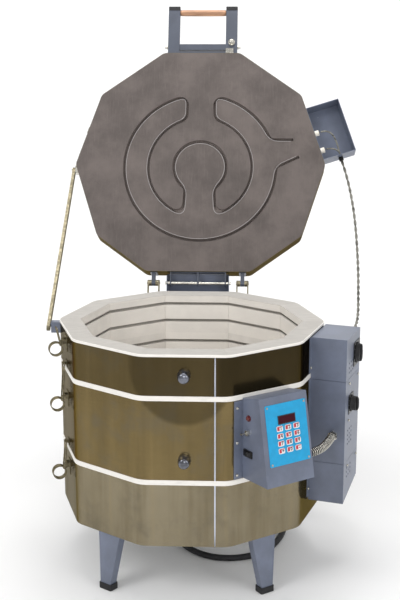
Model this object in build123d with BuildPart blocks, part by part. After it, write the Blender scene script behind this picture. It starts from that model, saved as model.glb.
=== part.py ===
"""A ten-sided, top-loading electric kiln with its lid open.

Millimetres, +Z up. The front is -Y and the origin is on the barrel's axis at floor level.
The lid pieces are drawn in the closed lid's coordinates and placed on planes that are
swung open about the hinge.
"""

import os
from math import atan2, cos, degrees, hypot, pi, radians, sin, tan

from build123d import *

os.makedirs("parts", exist_ok=True)

# Barrel: ten flat sides, a flat one to the front
side_count = 10
side_angle = 360 / side_count
jacket_apothem = 359.5
jacket_thickness = 0.8
jacket_corner = 60.0
brick_thickness = 57.5
brick_joint = 0.6
stand_height = 160.0
floor_slab_thickness = 63.5
wall_rebate = 3.0
rebate_clearance = 0.5
bottom_row_height = 113.5
middle_row_height = 231.0
top_row_height = 118.0
joint_strip_height = 14.0
rim_strip_height = 7.0
strip_stand_off = 1.5
strip_rounding = 1.4

# Heating elements in grooves round the chamber
groove_height = 9.0
groove_depth = 11.0
first_groove_drop = 26.0
second_groove_drop = 79.0
element_radius = 3.5
element_tail_offset = 12.0
element_tail_reach = 380.0
element_hole_radius = 5.0

# Peepholes in the front side, closed with ceramic plugs
upper_peephole_drop = 56.0
lower_peephole_drop = 287.0
peephole_inner_radius = 12.5
peephole_outer_radius = 15.5
plug_clearance = 0.3
plug_head_radius = 18.0
plug_head_length = 25.0

# Lid, its groove and its element
lid_open_angle = 115.0
hinge_behind_axis = 385.0
hinge_above_rim = 20.0
lid_gap = 0.3
lid_thickness = 64.0
lid_apothem = 380.4
lid_rear = 351.0
lid_corner = 30.0
band_thickness = 0.8
lid_groove_width = 9.0
lid_groove_depth = 10.0
outer_ring_radius = 243.0
middle_ring_radius = 166.0
inner_ring_radius = 85.0
ring_centre_back = 8.0
top_turn_half_gap = 44.0
low_turn_half_gap = 52.0
inner_turn_half_gap = 46.0
turn_radius = 24.0
stub_radius = 13.0

# Handle on the lid's front edge
handle_post_spacing = 190.0
handle_post_width = 38.0
handle_post_depth = 22.0
handle_post_length = 160.0
handle_wall = 2.0
handle_cap_thickness = 13.0
grip_radius = 10.5
grip_tenon_radius = 4.5
grip_inset = 5.0
crossbar_height = 20.0
crossbar_offset = 22.0
handle_foot_height = 14.0

# Hinge at the back
channel_half_width = 98.0
channel_wall = 2.0
channel_back = 406.0
channel_low = 655.0
channel_top_gap = 3.1
rod_radius = 5.0
running_clearance = 0.05
ear_radius = 11.0
side_hinge_offset = 140.0
side_knuckle_radius = 9.5
side_pin_radius = 4.0
strap_plate = 2.5

# Slotted support arm on the left
arm_plane = 404.0
arm_thickness = 9.0
arm_sheet = 2.0
arm_width = 16.0
arm_slot = 8.6
arm_pin_radius = 4.0
arm_end = 20.0
arm_lid_y = 10.0
arm_lid_rise = 32.0
arm_bracket_drop = 19.0

# Latches on the left
latch_face = -2 * side_angle
latch_rim_drop = 56.0
latch_upper_drop = 216.0
latch_lower_drop = 418.0
ring_outer_radius = 20.0
ring_wall = 2.6
ring_stand_off = 29.5
lever_half_width = 9.0
ear_gap = 0.3
latch_pin_radius = 2.0
bail_wire_radius = 1.8
bail_half_width = 13.6
upper_keeper_rise = 22.0
lower_keeper_rise = 23.0
free_bail_reach = 5.6
free_bail_rise = 4.0
latch_plate = 1.5

# Terminal boxes on the right
box_face = 2 * side_angle
box_inner = 361.5
box_outer = 461.0
box_front = -30.0
box_back = 122.0
box_wall = 1.4
top_box_low = 559.0
top_box_high = 677.0
middle_box_low = 322.0
bottom_box_low = 205.0
cord_height = 262.0
cord_reach = 395.0
box_seam = 1.0
bottom_box_slope = 36.0
vent_radius = 3.5

# Control box on the front right
panel_face = side_angle
panel_half_width = 76.0
panel_flange = 26.0
panel_wall = 1.5
panel_low_inner = 347.0
panel_low_outer = 351.0
panel_high_inner = 566.0
panel_high_outer = 579.0
panel_top_reach = 431.0
panel_low_reach = 474.0
keypad_width = 130.0
keypad_height = 160.0
keypad_shift = 4.0
keypad_drop = 100.0
keypad_thickness = 1.2
display_width = 52.0
display_height = 19.0
display_drop = 62.5
board_margin = 7.0

# Legs
leg_top_width = 76.0
leg_foot_width = 36.0
leg_top_reach = 357.0
leg_foot_reach = 376.0
leg_depth = 24.0
leg_sheet = 3.0
foot_height = 18.0
pan_thickness = 3.0

# Cords
power_cord_radius = 9.0
lead_radius = 5.0

floor_top = stand_height + floor_slab_thickness
lower_joint = floor_top + bottom_row_height
upper_joint = lower_joint + middle_row_height
rim = upper_joint + top_row_height
brick_outer = jacket_apothem - jacket_thickness
chamber_apothem = brick_outer - brick_thickness
brick_corner = jacket_corner - jacket_thickness
hinge_height = rim + hinge_above_rim
lid_bottom = rim + lid_gap
lid_top = lid_bottom + lid_thickness


def face_frame(angle, height=0.0):
    """A level plane: x along a side of the barrel, y towards the barrel's axis."""
    a = radians(angle)
    return Plane(origin=(0, 0, height), x_dir=(cos(a), sin(a), 0), z_dir=(0, 0, 1))


def face_wall(angle, reach):
    """An upright plane on a side of the barrel: x along the side, y up, z outwards."""
    a = radians(angle)
    origin = (reach * sin(a), -reach * cos(a), 0)
    return Plane(origin=origin, x_dir=(cos(a), sin(a), 0), z_dir=(sin(a), -cos(a), 0))


def face_section(angle, along=0.0):
    """An upright plane square to a side: x outwards, y up, z back along the side."""
    a = radians(angle)
    origin = (along * cos(a), along * sin(a), 0)
    return Plane(origin=origin, x_dir=(sin(a), -cos(a), 0), z_dir=(-cos(a), -sin(a), 0))


def face_point(angle, reach, along, height):
    """The point at a reach from the axis, square to a side, and a distance along it."""
    a = radians(angle)
    x = reach * sin(a) + along * cos(a)
    y = -reach * cos(a) + along * sin(a)
    return (x, y, height)


def face_direction(angle, outwards=0.0, along=0.0, up=0.0):
    """A direction from its parts square to a side, along it and upwards."""
    a = radians(angle)
    return (outwards * sin(a) + along * cos(a), -outwards * cos(a) + along * sin(a), up)


def lid_turn(x, y, z):
    """A direction of the closed lid, swung open."""
    a = -radians(lid_open_angle)
    return (x, y * cos(a) - z * sin(a), y * sin(a) + z * cos(a))


def lid_point(x, y, z):
    """A point of the closed lid, swung open about the hinge."""
    _, back, up = lid_turn(x, y - hinge_behind_axis, z - hinge_height)
    return (x, hinge_behind_axis + back, hinge_height + up)


def lid_plane(origin, x_dir, z_dir):
    """A plane of the closed lid, swung open."""
    return Plane(origin=lid_point(*origin), x_dir=lid_turn(*x_dir), z_dir=lid_turn(*z_dir))


def level_lid_plane(height):
    """A level plane of the closed lid, swung open: x right, y back from the axis."""
    return lid_plane((0, 0, height), (1, 0, 0), (0, 0, 1))


def decagon(apothem, corner):
    """The barrel's plan at an apothem, with rounded corners."""
    with BuildSketch(mode=Mode.PRIVATE) as outline:
        RegularPolygon(apothem, side_count, major_radius=False)
        fillet(outline.vertices(), corner)
    return outline.sketch


def lid_outline(apothem, rear, corner):
    """The lid's plan: the barrel's shape, larger, and cut straight across at the rear."""
    with BuildSketch(mode=Mode.PRIVATE) as outline:
        RegularPolygon(apothem, side_count, major_radius=False)
        with Locations((0, rear)):
            Rectangle(3 * apothem, apothem, align=(Align.CENTER, Align.MIN), mode=Mode.SUBTRACT)
        fillet(outline.vertices(), corner)
    return outline.sketch


def brick_plan():
    """Ten mitred bricks round the chamber, with a thin joint between neighbours."""
    add(decagon(brick_outer, brick_corner))
    RegularPolygon(chamber_apothem, side_count, major_radius=False, mode=Mode.SUBTRACT)
    with PolarLocations(0, side_count):
        Rectangle(
            1.2 * brick_outer, brick_joint, align=(Align.MIN, Align.CENTER), mode=Mode.SUBTRACT
        )


def jacket_plan():
    """The steel jacket's plan, with the raised lap where its ends meet at the front."""
    add(decagon(jacket_apothem, jacket_corner))
    with Locations((lap_offset, -jacket_apothem)):
        Rectangle(lap_width, 2 * lap_rise)
    add(decagon(brick_outer, brick_corner), mode=Mode.SUBTRACT)


lap_offset = 80.0
lap_width = 9.0
lap_rise = 0.7


def edging_strip(low, height):
    """A rounded edging strip, against the bricks and proud of the jacket."""
    with BuildPart() as piece:
        with BuildSketch(Plane.XY.offset(low)):
            add(decagon(jacket_apothem + strip_stand_off, jacket_corner + strip_stand_off))
            add(decagon(brick_outer, brick_corner), mode=Mode.SUBTRACT)
        extrude(amount=height)
        level = faces().sort_by(Axis.Z)
        fillet(level[0].outer_wire().edges() + level[-1].outer_wire().edges(), strip_rounding)
    return piece.part


def groove_heights(row_top):
    """Heights of the two element grooves in a brick row."""
    return [row_top - first_groove_drop, row_top - second_groove_drop]


half_middle = middle_row_height / 2
top_grooves = groove_heights(rim)
middle_grooves = groove_heights(upper_joint) + groove_heights(upper_joint - half_middle)
bottom_grooves = groove_heights(lower_joint)


def groove_cutter(heights):
    """What cuts the element grooves and the holes for the element tails in a brick ring."""
    with BuildPart() as piece:
        for height in heights:
            with BuildSketch(Plane.XY.offset(height - groove_height / 2)):
                RegularPolygon(chamber_apothem + groove_depth, side_count, major_radius=False)
            extrude(amount=groove_height)
            with BuildSketch(face_wall(box_face, chamber_apothem)):
                with Locations((-element_tail_offset, height), (element_tail_offset, height)):
                    Circle(element_hole_radius)
            extrude(amount=1.1 * brick_thickness)
    return piece.part


def peephole_cutter(height):
    """What cuts a tapered peephole through a front brick."""
    with BuildPart() as piece:
        with BuildSketch(face_section(0)):
            Polygon(
                (chamber_apothem - 1, height),
                (chamber_apothem - 1, height + peephole_inner_radius),
                (jacket_apothem + 1, height + peephole_outer_radius),
                (jacket_apothem + 1, height),
                align=None,
            )
        revolve(axis=Axis((0, 0, height), (0, -1, 0)))
    return piece.part


def jacket_hole_cutter(height):
    """What cuts a round hole in the front of the jacket over a peephole."""
    with BuildPart() as piece:
        with BuildSketch(face_wall(0, jacket_apothem + 1)):
            with Locations((0, height)):
                Circle(peephole_outer_radius + plug_clearance)
        extrude(amount=-3 * jacket_thickness - 1)
    return piece.part


def window_cutter(low, high):
    """What cuts the window in the jacket behind a terminal block."""
    with BuildPart() as piece:
        with BuildSketch(face_wall(box_face, jacket_apothem + 1)):
            with Locations((0, (low + high) / 2)):
                Rectangle(2 * (element_tail_offset + 6), high - low)
        extrude(amount=-3 * jacket_thickness - 1)
    return piece.part


# Stand: a pan under the barrel, four folded legs and their rubber feet
pan_bottom = stand_height - pan_thickness
leg_faces = (side_angle, -side_angle, 4 * side_angle, -4 * side_angle)

with BuildPart() as stand_pan:
    with BuildSketch(Plane.XY.offset(pan_bottom)):
        add(decagon(brick_outer, brick_corner))
    extrude(amount=pan_thickness)
    for turn in (side_angle, -side_angle):
        with BuildSketch(face_frame(turn, pan_bottom)):
            Rectangle(40, 2 * leg_top_reach - 2 * leg_depth - 30)
        extrude(amount=-18)
stand_pan.part.label = "stand_pan"
export_step(stand_pan.part, "parts/stand_pan.step")


def leg_profile(reach, width):
    """The folded leg's plan: a face outwards and a flange back at each side."""
    with Locations((0, -reach)):
        Rectangle(width, leg_depth, align=(Align.CENTER, Align.MIN))
    with Locations((0, -reach + leg_sheet)):
        Rectangle(
            width - 2 * leg_sheet,
            leg_depth,
            align=(Align.CENTER, Align.MIN),
            mode=Mode.SUBTRACT,
        )


def leg(angle):
    """A tapered leg with the tab that bolts it to the pan."""
    with BuildPart() as piece:
        with BuildSketch(face_frame(angle, pan_bottom)):
            leg_profile(leg_top_reach, leg_top_width)
        with BuildSketch(face_frame(angle, foot_height)):
            leg_profile(leg_foot_reach, leg_foot_width)
        loft()
        with BuildSketch(face_frame(angle, pan_bottom)):
            with Locations((0, -leg_top_reach)):
                Rectangle(leg_top_width, leg_depth + 6, align=(Align.CENTER, Align.MIN))
        extrude(amount=-leg_sheet)
    return piece.part


def foot(angle):
    """A rubber foot under a leg."""
    with BuildPart() as piece:
        with BuildSketch(face_frame(angle)):
            with Locations((0, -leg_foot_reach - 3)):
                RectangleRounded(
                    leg_foot_width + 7, leg_depth + 7, 4, align=(Align.CENTER, Align.MIN)
                )
        extrude(amount=foot_height)
        chamfer(faces().sort_by(Axis.Z)[0].edges(), 1.5)
    return piece.part


with BuildPart() as legs:
    for angle in leg_faces:
        add(leg(angle))
legs.part.label = "legs"
export_step(legs.part, "parts/legs.step")

with BuildPart() as rubber_feet:
    for angle in leg_faces:
        add(foot(angle))
rubber_feet.part.label = "rubber_feet"
export_step(rubber_feet.part, "parts/rubber_feet.step")

# Barrel: floor slab, three brick rings, three steel jackets and the edging strips
with BuildPart() as floor_slab:
    with BuildSketch(Plane.XY.offset(stand_height)):
        add(decagon(brick_outer, brick_corner))
    extrude(amount=floor_slab_thickness - wall_rebate)
    with BuildSketch(Plane.XY.offset(floor_top - wall_rebate)):
        RegularPolygon(chamber_apothem - rebate_clearance, side_count, major_radius=False)
    extrude(amount=wall_rebate)
floor_slab.part.label = "floor_slab"
export_step(floor_slab.part, "parts/floor_slab.step")

with BuildPart() as brick_ring_bottom:
    with BuildSketch(Plane.XY.offset(floor_top - wall_rebate)):
        brick_plan()
    extrude(amount=bottom_row_height + wall_rebate)
    add(groove_cutter(bottom_grooves), mode=Mode.SUBTRACT)
brick_ring_bottom.part.label = "brick_ring_bottom"
export_step(brick_ring_bottom.part, "parts/brick_ring_bottom.step")

probe_height = lower_joint + 0.55 * middle_row_height
probe_radius = 4.0

with BuildPart() as brick_ring_middle:
    with BuildSketch(Plane.XY.offset(lower_joint)):
        brick_plan()
    extrude(amount=middle_row_height)
    add(groove_cutter(middle_grooves), mode=Mode.SUBTRACT)
    add(peephole_cutter(rim - lower_peephole_drop), mode=Mode.SUBTRACT)
    with BuildSketch(face_wall(panel_face, chamber_apothem - 5)):
        with Locations((0, probe_height)):
            Circle(probe_radius + running_clearance)
    extrude(amount=brick_thickness + 10, mode=Mode.SUBTRACT)
brick_ring_middle.part.label = "brick_ring_middle"
export_step(brick_ring_middle.part, "parts/brick_ring_middle.step")

with BuildPart() as brick_ring_top:
    with BuildSketch(Plane.XY.offset(upper_joint)):
        brick_plan()
    extrude(amount=top_row_height)
    add(groove_cutter(top_grooves), mode=Mode.SUBTRACT)
    add(peephole_cutter(rim - upper_peephole_drop), mode=Mode.SUBTRACT)
brick_ring_top.part.label = "brick_ring_top"
export_step(brick_ring_top.part, "parts/brick_ring_top.step")

half_strip = joint_strip_height / 2

with BuildPart() as jacket_bottom:
    with BuildSketch(Plane.XY.offset(pan_bottom)):
        jacket_plan()
    extrude(amount=lower_joint - half_strip - pan_bottom)
    add(window_cutter(bottom_grooves[1] - 8, bottom_grooves[0] + 8), mode=Mode.SUBTRACT)
jacket_bottom.part.label = "jacket_bottom"
export_step(jacket_bottom.part, "parts/jacket_bottom.step")

with BuildPart() as jacket_middle:
    with BuildSketch(Plane.XY.offset(lower_joint + half_strip)):
        jacket_plan()
    extrude(amount=middle_row_height - joint_strip_height)
    add(jacket_hole_cutter(rim - lower_peephole_drop), mode=Mode.SUBTRACT)
    add(window_cutter(middle_grooves[3] - 8, middle_grooves[0] + 8), mode=Mode.SUBTRACT)
    with BuildSketch(face_wall(panel_face, jacket_apothem + 1)):
        with Locations((0, probe_height)):
            Circle(probe_radius + 2)
    extrude(amount=-3 * jacket_thickness - 1, mode=Mode.SUBTRACT)
jacket_middle.part.label = "jacket_middle"
export_step(jacket_middle.part, "parts/jacket_middle.step")

with BuildPart() as jacket_top:
    with BuildSketch(Plane.XY.offset(upper_joint + half_strip)):
        jacket_plan()
    extrude(amount=top_row_height - half_strip - rim_strip_height)
    add(jacket_hole_cutter(rim - upper_peephole_drop), mode=Mode.SUBTRACT)
    add(window_cutter(top_grooves[1] - 8, top_grooves[0] + 8), mode=Mode.SUBTRACT)
jacket_top.part.label = "jacket_top"
export_step(jacket_top.part, "parts/jacket_top.step")

with BuildPart() as edging_strips:
    add(edging_strip(lower_joint - half_strip, joint_strip_height))
    add(edging_strip(upper_joint - half_strip, joint_strip_height))
    add(edging_strip(rim - rim_strip_height, rim_strip_height))
edging_strips.part.label = "edging_strips"
export_step(edging_strips.part, "parts/edging_strips.step")

# Heating elements, one for each groove, with tails out to the terminal blocks
element_apothem = chamber_apothem + groove_depth / 2
element_turn = 8.0


def element(height):
    """One element: in through the wall, round the chamber and out again."""
    with BuildPart() as piece:
        corner_radius = element_apothem / cos(pi / side_count)
        points = [face_point(box_face, element_tail_reach, element_tail_offset, height)]
        points.append(face_point(box_face, element_apothem, element_tail_offset, height))
        for step in range(side_count):
            turn = box_face + side_angle / 2 + step * side_angle
            corner = face_direction(turn, outwards=corner_radius)
            points.append((corner[0], corner[1], height))
        points.append(face_point(box_face, element_apothem, -element_tail_offset, height))
        points.append(face_point(box_face, element_tail_reach, -element_tail_offset, height))
        with BuildLine() as run:
            FilletPolyline(*points, radius=element_turn)
        with BuildSketch(Plane(origin=points[0], z_dir=face_direction(box_face, outwards=-1))):
            Circle(element_radius)
        sweep(path=run.line)
    return piece.part


with BuildPart() as wall_elements:
    for height in bottom_grooves + middle_grooves + top_grooves:
        add(element(height))
wall_elements.part.label = "wall_elements"
export_step(wall_elements.part, "parts/wall_elements.step")

block_thickness = 12.0


def terminal_block(low, high, heights):
    """A ceramic block over a jacket window, drilled for the element tails."""
    with BuildPart() as piece:
        with BuildSketch(face_wall(box_face, jacket_apothem)):
            with Locations((0, (low + high) / 2)):
                Rectangle(2 * (element_tail_offset + 12), high - low)
            for height in heights:
                with Locations((-element_tail_offset, height), (element_tail_offset, height)):
                    Circle(element_radius + 0.2, mode=Mode.SUBTRACT)
        extrude(amount=block_thickness)
    return piece.part


with BuildPart() as terminal_blocks:
    add(terminal_block(bottom_grooves[1] - 12, bottom_grooves[0] + 8, bottom_grooves))
    add(terminal_block(middle_grooves[3] - 12, middle_grooves[0] + 12, middle_grooves))
    add(terminal_block(top_grooves[1] - 12, top_grooves[0] + 12, top_grooves))
terminal_blocks.part.label = "terminal_blocks"
export_step(terminal_blocks.part, "parts/terminal_blocks.step")


def peephole_plug(height):
    """A tapered ceramic plug with a round head, standing in its peephole."""
    with BuildPart() as piece:
        taper = (peephole_outer_radius - peephole_inner_radius) / (
            jacket_apothem - chamber_apothem + 2
        )
        tip = chamber_apothem + 12
        seat = jacket_apothem + plug_clearance
        tip_radius = peephole_inner_radius + taper * (tip - chamber_apothem + 1) - plug_clearance
        neck_radius = peephole_inner_radius + taper * (seat - chamber_apothem + 1) - plug_clearance
        with BuildSketch(face_section(0)):
            Polygon(
                (tip, height),
                (tip, height + tip_radius),
                (seat, height + neck_radius),
                (seat, height + plug_head_radius),
                (seat + 0.5 * plug_head_length, height + 0.95 * plug_head_radius),
                (seat + plug_head_length, height + 0.72 * plug_head_radius),
                (seat + plug_head_length, height),
                align=None,
            )
        revolve(axis=Axis((0, 0, height), (0, -1, 0)))
        fillet(faces().sort_by(Axis.Y)[0].edges(), 4)
    return piece.part


with BuildPart() as peephole_plug_upper:
    add(peephole_plug(rim - upper_peephole_drop))
peephole_plug_upper.part.label = "peephole_plug_upper"
export_step(peephole_plug_upper.part, "parts/peephole_plug_upper.step")

with BuildPart() as peephole_plug_lower:
    add(peephole_plug(rim - lower_peephole_drop))
peephole_plug_lower.part.label = "peephole_plug_lower"
export_step(peephole_plug_lower.part, "parts/peephole_plug_lower.step")

with BuildPart() as thermocouple:
    with BuildSketch(face_wall(panel_face, chamber_apothem - 25)):
        with Locations((0, probe_height)):
            Circle(probe_radius)
    extrude(amount=25 + brick_thickness + jacket_thickness)
    with BuildSketch(face_wall(panel_face, jacket_apothem)):
        with Locations((0, probe_height)):
            Rectangle(34, 22)
    extrude(amount=14)
thermocouple.part.label = "thermocouple"
export_step(thermocouple.part, "parts/thermocouple.step")


# Terminal boxes: folded sheet covers on the right side, one for each section
def box_cover(low, high, slope=0.0):
    """A sheet cover open towards the jacket; its bottom rises by the slope to the back."""
    with BuildPart() as piece:
        with BuildSketch(face_wall(box_face, box_inner)):
            Polygon(
                (box_front, low),
                (box_back, low + slope),
                (box_back, high),
                (box_front, high),
                align=None,
            )
        extrude(amount=box_outer - box_inner)
        with BuildSketch(face_wall(box_face, box_inner)):
            Polygon(
                (box_front + box_wall, low + box_wall),
                (box_back - box_wall, low + slope + box_wall),
                (box_back - box_wall, high - box_wall),
                (box_front + box_wall, high - box_wall),
                align=None,
            )
        extrude(amount=box_outer - box_inner - box_wall, mode=Mode.SUBTRACT)
    return piece.part


def box_flange(low, high):
    """The flange that screws the front of a cover to the jacket."""
    with BuildPart() as piece:
        with BuildSketch(face_wall(box_face, jacket_apothem)):
            with Locations((box_front - 12, (low + high) / 2)):
                Rectangle(12 + box_wall, high - low, align=(Align.MIN, Align.CENTER))
        extrude(amount=box_inner - jacket_apothem)
    return piece.part


def vent_cutter(height, rows):
    """What cuts the round vent holes in the outer face of a cover."""
    with BuildPart() as piece:
        with BuildSketch(face_wall(box_face, box_outer + 1)):
            with Locations(((box_front + box_back) / 2 - 22, height)):
                with GridLocations(20, 13, 3, rows):
                    Circle(vent_radius)
        extrude(amount=-box_wall - 2)
    return piece.part


with BuildPart() as terminal_box_top:
    add(box_cover(top_box_low, top_box_high))
    add(box_flange(upper_joint + half_strip + 1, rim - rim_strip_height - 2))
    add(vent_cutter(590, 3), mode=Mode.SUBTRACT)
terminal_box_top.part.label = "terminal_box_top"
export_step(terminal_box_top.part, "parts/terminal_box_top.step")

middle_box_high = top_box_low - box_seam

with BuildPart() as terminal_box_middle:
    add(box_cover(middle_box_low, middle_box_high))
    add(box_flange(lower_joint + half_strip + 1, upper_joint - half_strip - 1))
    add(vent_cutter(390, 4), mode=Mode.SUBTRACT)
terminal_box_middle.part.label = "terminal_box_middle"
export_step(terminal_box_middle.part, "parts/terminal_box_middle.step")

bottom_box_high = middle_box_low - box_seam

with BuildPart() as terminal_box_bottom:
    add(box_cover(bottom_box_low, bottom_box_high, bottom_box_slope))
    add(box_flange(bottom_box_low + 10, bottom_box_high - 2))
    add(vent_cutter(288, 3), mode=Mode.SUBTRACT)
terminal_box_bottom.part.label = "terminal_box_bottom"
export_step(terminal_box_bottom.part, "parts/terminal_box_bottom.step")

# Rotary controls on the outer faces of the boxes
top_knob_along = 82.0
top_knob_height = 615.0
top_knob_radius = 30.0
middle_knob_along = 30.0
middle_knob_height = 483.0
middle_knob_radius = 24.0
spindle_radius = 4.0
knob_gap = 0.4


def rotary_plate(along, height, radius):
    """The fixed plate and spindle under a rotary control."""
    with BuildPart() as piece:
        with BuildSketch(face_wall(box_face, box_outer)):
            with Locations((along, height)):
                RectangleRounded(2.3 * radius, 2.3 * radius, 5)
        extrude(amount=1.5)
        with BuildSketch(face_wall(box_face, box_outer)):
            with Locations((along, height)):
                Circle(spindle_radius)
        extrude(amount=12)
    return piece.part


def rotary_knob(along, height, radius, depth):
    """A black knob with a raised pointer bar and a bore for its spindle."""
    with BuildPart() as piece:
        seat = box_outer + 1.5 + knob_gap
        with BuildSketch(face_wall(box_face, seat)):
            with Locations((along, height)):
                Circle(radius)
        extrude(amount=0.45 * depth, taper=4)
        with BuildSketch(face_wall(box_face, seat)):
            with Locations((along, height)):
                SlotOverall(1.8 * radius, 0.45 * radius, rotation=90)
        extrude(amount=depth)
        with BuildSketch(face_wall(box_face, seat)):
            with Locations((along, height)):
                Circle(spindle_radius + running_clearance)
        extrude(amount=12 - 1.5 - knob_gap + 0.3, mode=Mode.SUBTRACT)
    return piece.part


with BuildPart() as rotary_knob_top:
    add(rotary_knob(top_knob_along, top_knob_height, top_knob_radius, 16))
rotary_knob_top.part.label = "rotary_knob_top"
export_step(rotary_knob_top.part, "parts/rotary_knob_top.step")

with BuildPart() as rotary_knob_middle:
    add(rotary_knob(middle_knob_along, middle_knob_height, middle_knob_radius, 22))
rotary_knob_middle.part.label = "rotary_knob_middle"
export_step(rotary_knob_middle.part, "parts/rotary_knob_middle.step")

# Control box: a wedge whose face leans back for reading
lamp_reach = 390.0
lamp_height = 518.0
toggle_reach = 388.0
toggle_height = 478.0
rocker_reach = 388.0
rocker_height = 421.0
rocker_curve = 15.0
rocker_half_height = 6.0
rocker_sink = 6.0
lamp_radius = 8.0
bushing_radius = 7.0
bushing_bore = 5.5
bushing_length = 8.0
rocker_half_window = 14.8

panel_lean = atan2(panel_low_reach - panel_top_reach, panel_high_outer - panel_low_outer)
panel_out = face_direction(panel_face, outwards=cos(panel_lean), up=sin(panel_lean))
panel_inset = panel_wall / cos(panel_lean)
panel_set_back = panel_wall * tan(panel_lean)
panel_flange_low = lower_joint + half_strip + 1.5
panel_flange_high = upper_joint - half_strip - 1.5


def on_panel(drop, lift=0.0):
    """A plane on the leaning face: x across, y up the face, at a drop from its top."""
    centre = face_point(
        panel_face,
        panel_top_reach + drop * sin(panel_lean),
        0,
        panel_high_outer - drop * cos(panel_lean),
    )
    origin = Vector(*centre) + Vector(*panel_out) * lift
    return Plane(origin=origin, x_dir=face_direction(panel_face, along=1), z_dir=panel_out)


with BuildPart() as control_box:
    with BuildSketch(face_section(panel_face, panel_half_width)):
        Polygon(
            (box_inner, panel_low_inner),
            (panel_low_reach, panel_low_outer),
            (panel_top_reach, panel_high_outer),
            (box_inner, panel_high_inner),
            align=None,
        )
    extrude(amount=2 * panel_half_width)
    with BuildSketch(face_section(panel_face, panel_half_width - panel_wall)):
        Polygon(
            (box_inner, panel_low_inner + panel_wall),
            (panel_low_reach - panel_inset - panel_set_back, panel_low_outer + panel_wall),
            (panel_top_reach - panel_inset + panel_set_back, panel_high_outer - panel_wall),
            (box_inner, panel_high_inner - panel_wall),
            align=None,
        )
    extrude(amount=2 * (panel_half_width - panel_wall), mode=Mode.SUBTRACT)
    for side in (-1, 1):
        with BuildSketch(face_wall(panel_face, jacket_apothem)):
            with Locations(
                (
                    side * (panel_half_width + (panel_flange - panel_wall) / 2),
                    (panel_flange_low + panel_flange_high) / 2,
                )
            ):
                Rectangle(panel_flange + panel_wall, panel_flange_high - panel_flange_low)
        extrude(amount=box_inner - jacket_apothem)
    with BuildSketch(face_section(panel_face, -panel_half_width + 2)):
        with Locations((lamp_reach, lamp_height)):
            Circle(lamp_radius - 2)
        with Locations((toggle_reach, toggle_height)):
            Circle(bushing_bore)
        with Locations((rocker_reach, rocker_height)):
            Rectangle(2 * rocker_half_window, 2 * rocker_half_height + 0.8)
    extrude(amount=4, mode=Mode.SUBTRACT)
control_box.part.label = "control_box"
export_step(control_box.part, "parts/control_box.step")

with BuildPart() as keypad:
    with BuildSketch(on_panel(keypad_drop)):
        with Locations((keypad_shift, 0)):
            RectangleRounded(keypad_width, keypad_height, 4)
    extrude(amount=keypad_thickness)
    with BuildSketch(on_panel(keypad_drop, keypad_thickness)):
        with Locations((keypad_shift + 3, -20)):
            with GridLocations(26, 18.5, 3, 4):
                RectangleRounded(19, 13, 2)
    extrude(amount=0.8)
keypad.part.label = "keypad"
export_step(keypad.part, "parts/keypad.step")

with BuildPart() as display_window:
    with BuildSketch(on_panel(keypad_drop, keypad_thickness)):
        with Locations((keypad_shift, keypad_drop - display_drop)):
            RectangleRounded(display_width, display_height, 2)
    extrude(amount=0.8)
display_window.part.label = "display_window"
export_step(display_window.part, "parts/display_window.step")

with BuildPart() as controller_board:
    with BuildSketch(on_panel(keypad_drop, -14)):
        Rectangle(keypad_width - 2 * board_margin, keypad_height - 2 * board_margin)
    extrude(amount=1.6)
    with BuildSketch(on_panel(keypad_drop, -12.5)):
        with GridLocations(keypad_width - 26, keypad_height - 26, 2, 2):
            Circle(3)
    extrude(amount=12.5 - panel_wall)
controller_board.part.label = "controller_board"
export_step(controller_board.part, "parts/controller_board.step")

side_sheet = face_section(panel_face, -panel_half_width)

with BuildPart() as pilot_lamp:
    with BuildSketch(side_sheet):
        with Locations((lamp_reach, lamp_height)):
            Circle(lamp_radius)
    extrude(amount=3)
    with BuildSketch(side_sheet.offset(3)):
        with Locations((lamp_reach, lamp_height)):
            Circle(lamp_radius - 2.5)
    extrude(amount=4)
    fillet(faces().sort_by(Axis((0, 0, 0), face_direction(panel_face, along=-1)))[-1].edges(), 2)
pilot_lamp.part.label = "pilot_lamp"
export_step(pilot_lamp.part, "parts/pilot_lamp.step")

with BuildPart() as switch_fittings:
    add(rotary_plate(top_knob_along, top_knob_height, top_knob_radius))
    add(rotary_plate(middle_knob_along, middle_knob_height, middle_knob_radius))
    with BuildSketch(side_sheet):
        with Locations((toggle_reach, toggle_height)):
            Circle(bushing_radius)
            Circle(bushing_bore, mode=Mode.SUBTRACT)
    extrude(amount=bushing_length)
    with BuildSketch(side_sheet):
        with Locations((rocker_reach, rocker_height)):
            RectangleRounded(2 * rocker_half_window + 8, 2 * rocker_half_height + 7, 2)
            Rectangle(2 * rocker_half_window, 2 * rocker_half_height + 0.8, mode=Mode.SUBTRACT)
    extrude(amount=3)
switch_fittings.part.label = "switch_fittings"
export_step(switch_fittings.part, "parts/switch_fittings.step")

toggle_pivot = face_point(panel_face, toggle_reach, -panel_half_width - 3, toggle_height)

with BuildPart() as toggle_lever:
    with BuildSketch(face_section(panel_face, -panel_half_width - 3)):
        with Locations((toggle_reach, toggle_height)):
            Circle(2.2)
    extrude(amount=21, taper=-1.5)
    with Locations(toggle_pivot):
        Sphere(bushing_bore - plug_clearance)
toggle_lever.part.label = "toggle_lever"
export_step(toggle_lever.part, "parts/toggle_lever.step")


with BuildPart() as rocker_switch:
    with BuildSketch(face_frame(panel_face, rocker_height - rocker_half_height)):
        with Locations((-panel_half_width + rocker_sink, -rocker_reach)):
            Circle(rocker_curve)
        with Locations((-panel_half_width + rocker_sink - 3, -rocker_reach)):
            Rectangle(
                2 * rocker_curve,
                3 * rocker_curve,
                align=(Align.MIN, Align.CENTER),
                mode=Mode.SUBTRACT,
            )
    extrude(amount=2 * rocker_half_height)
rocker_switch.part.label = "rocker_switch"
export_step(rocker_switch.part, "parts/rocker_switch.step")

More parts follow.
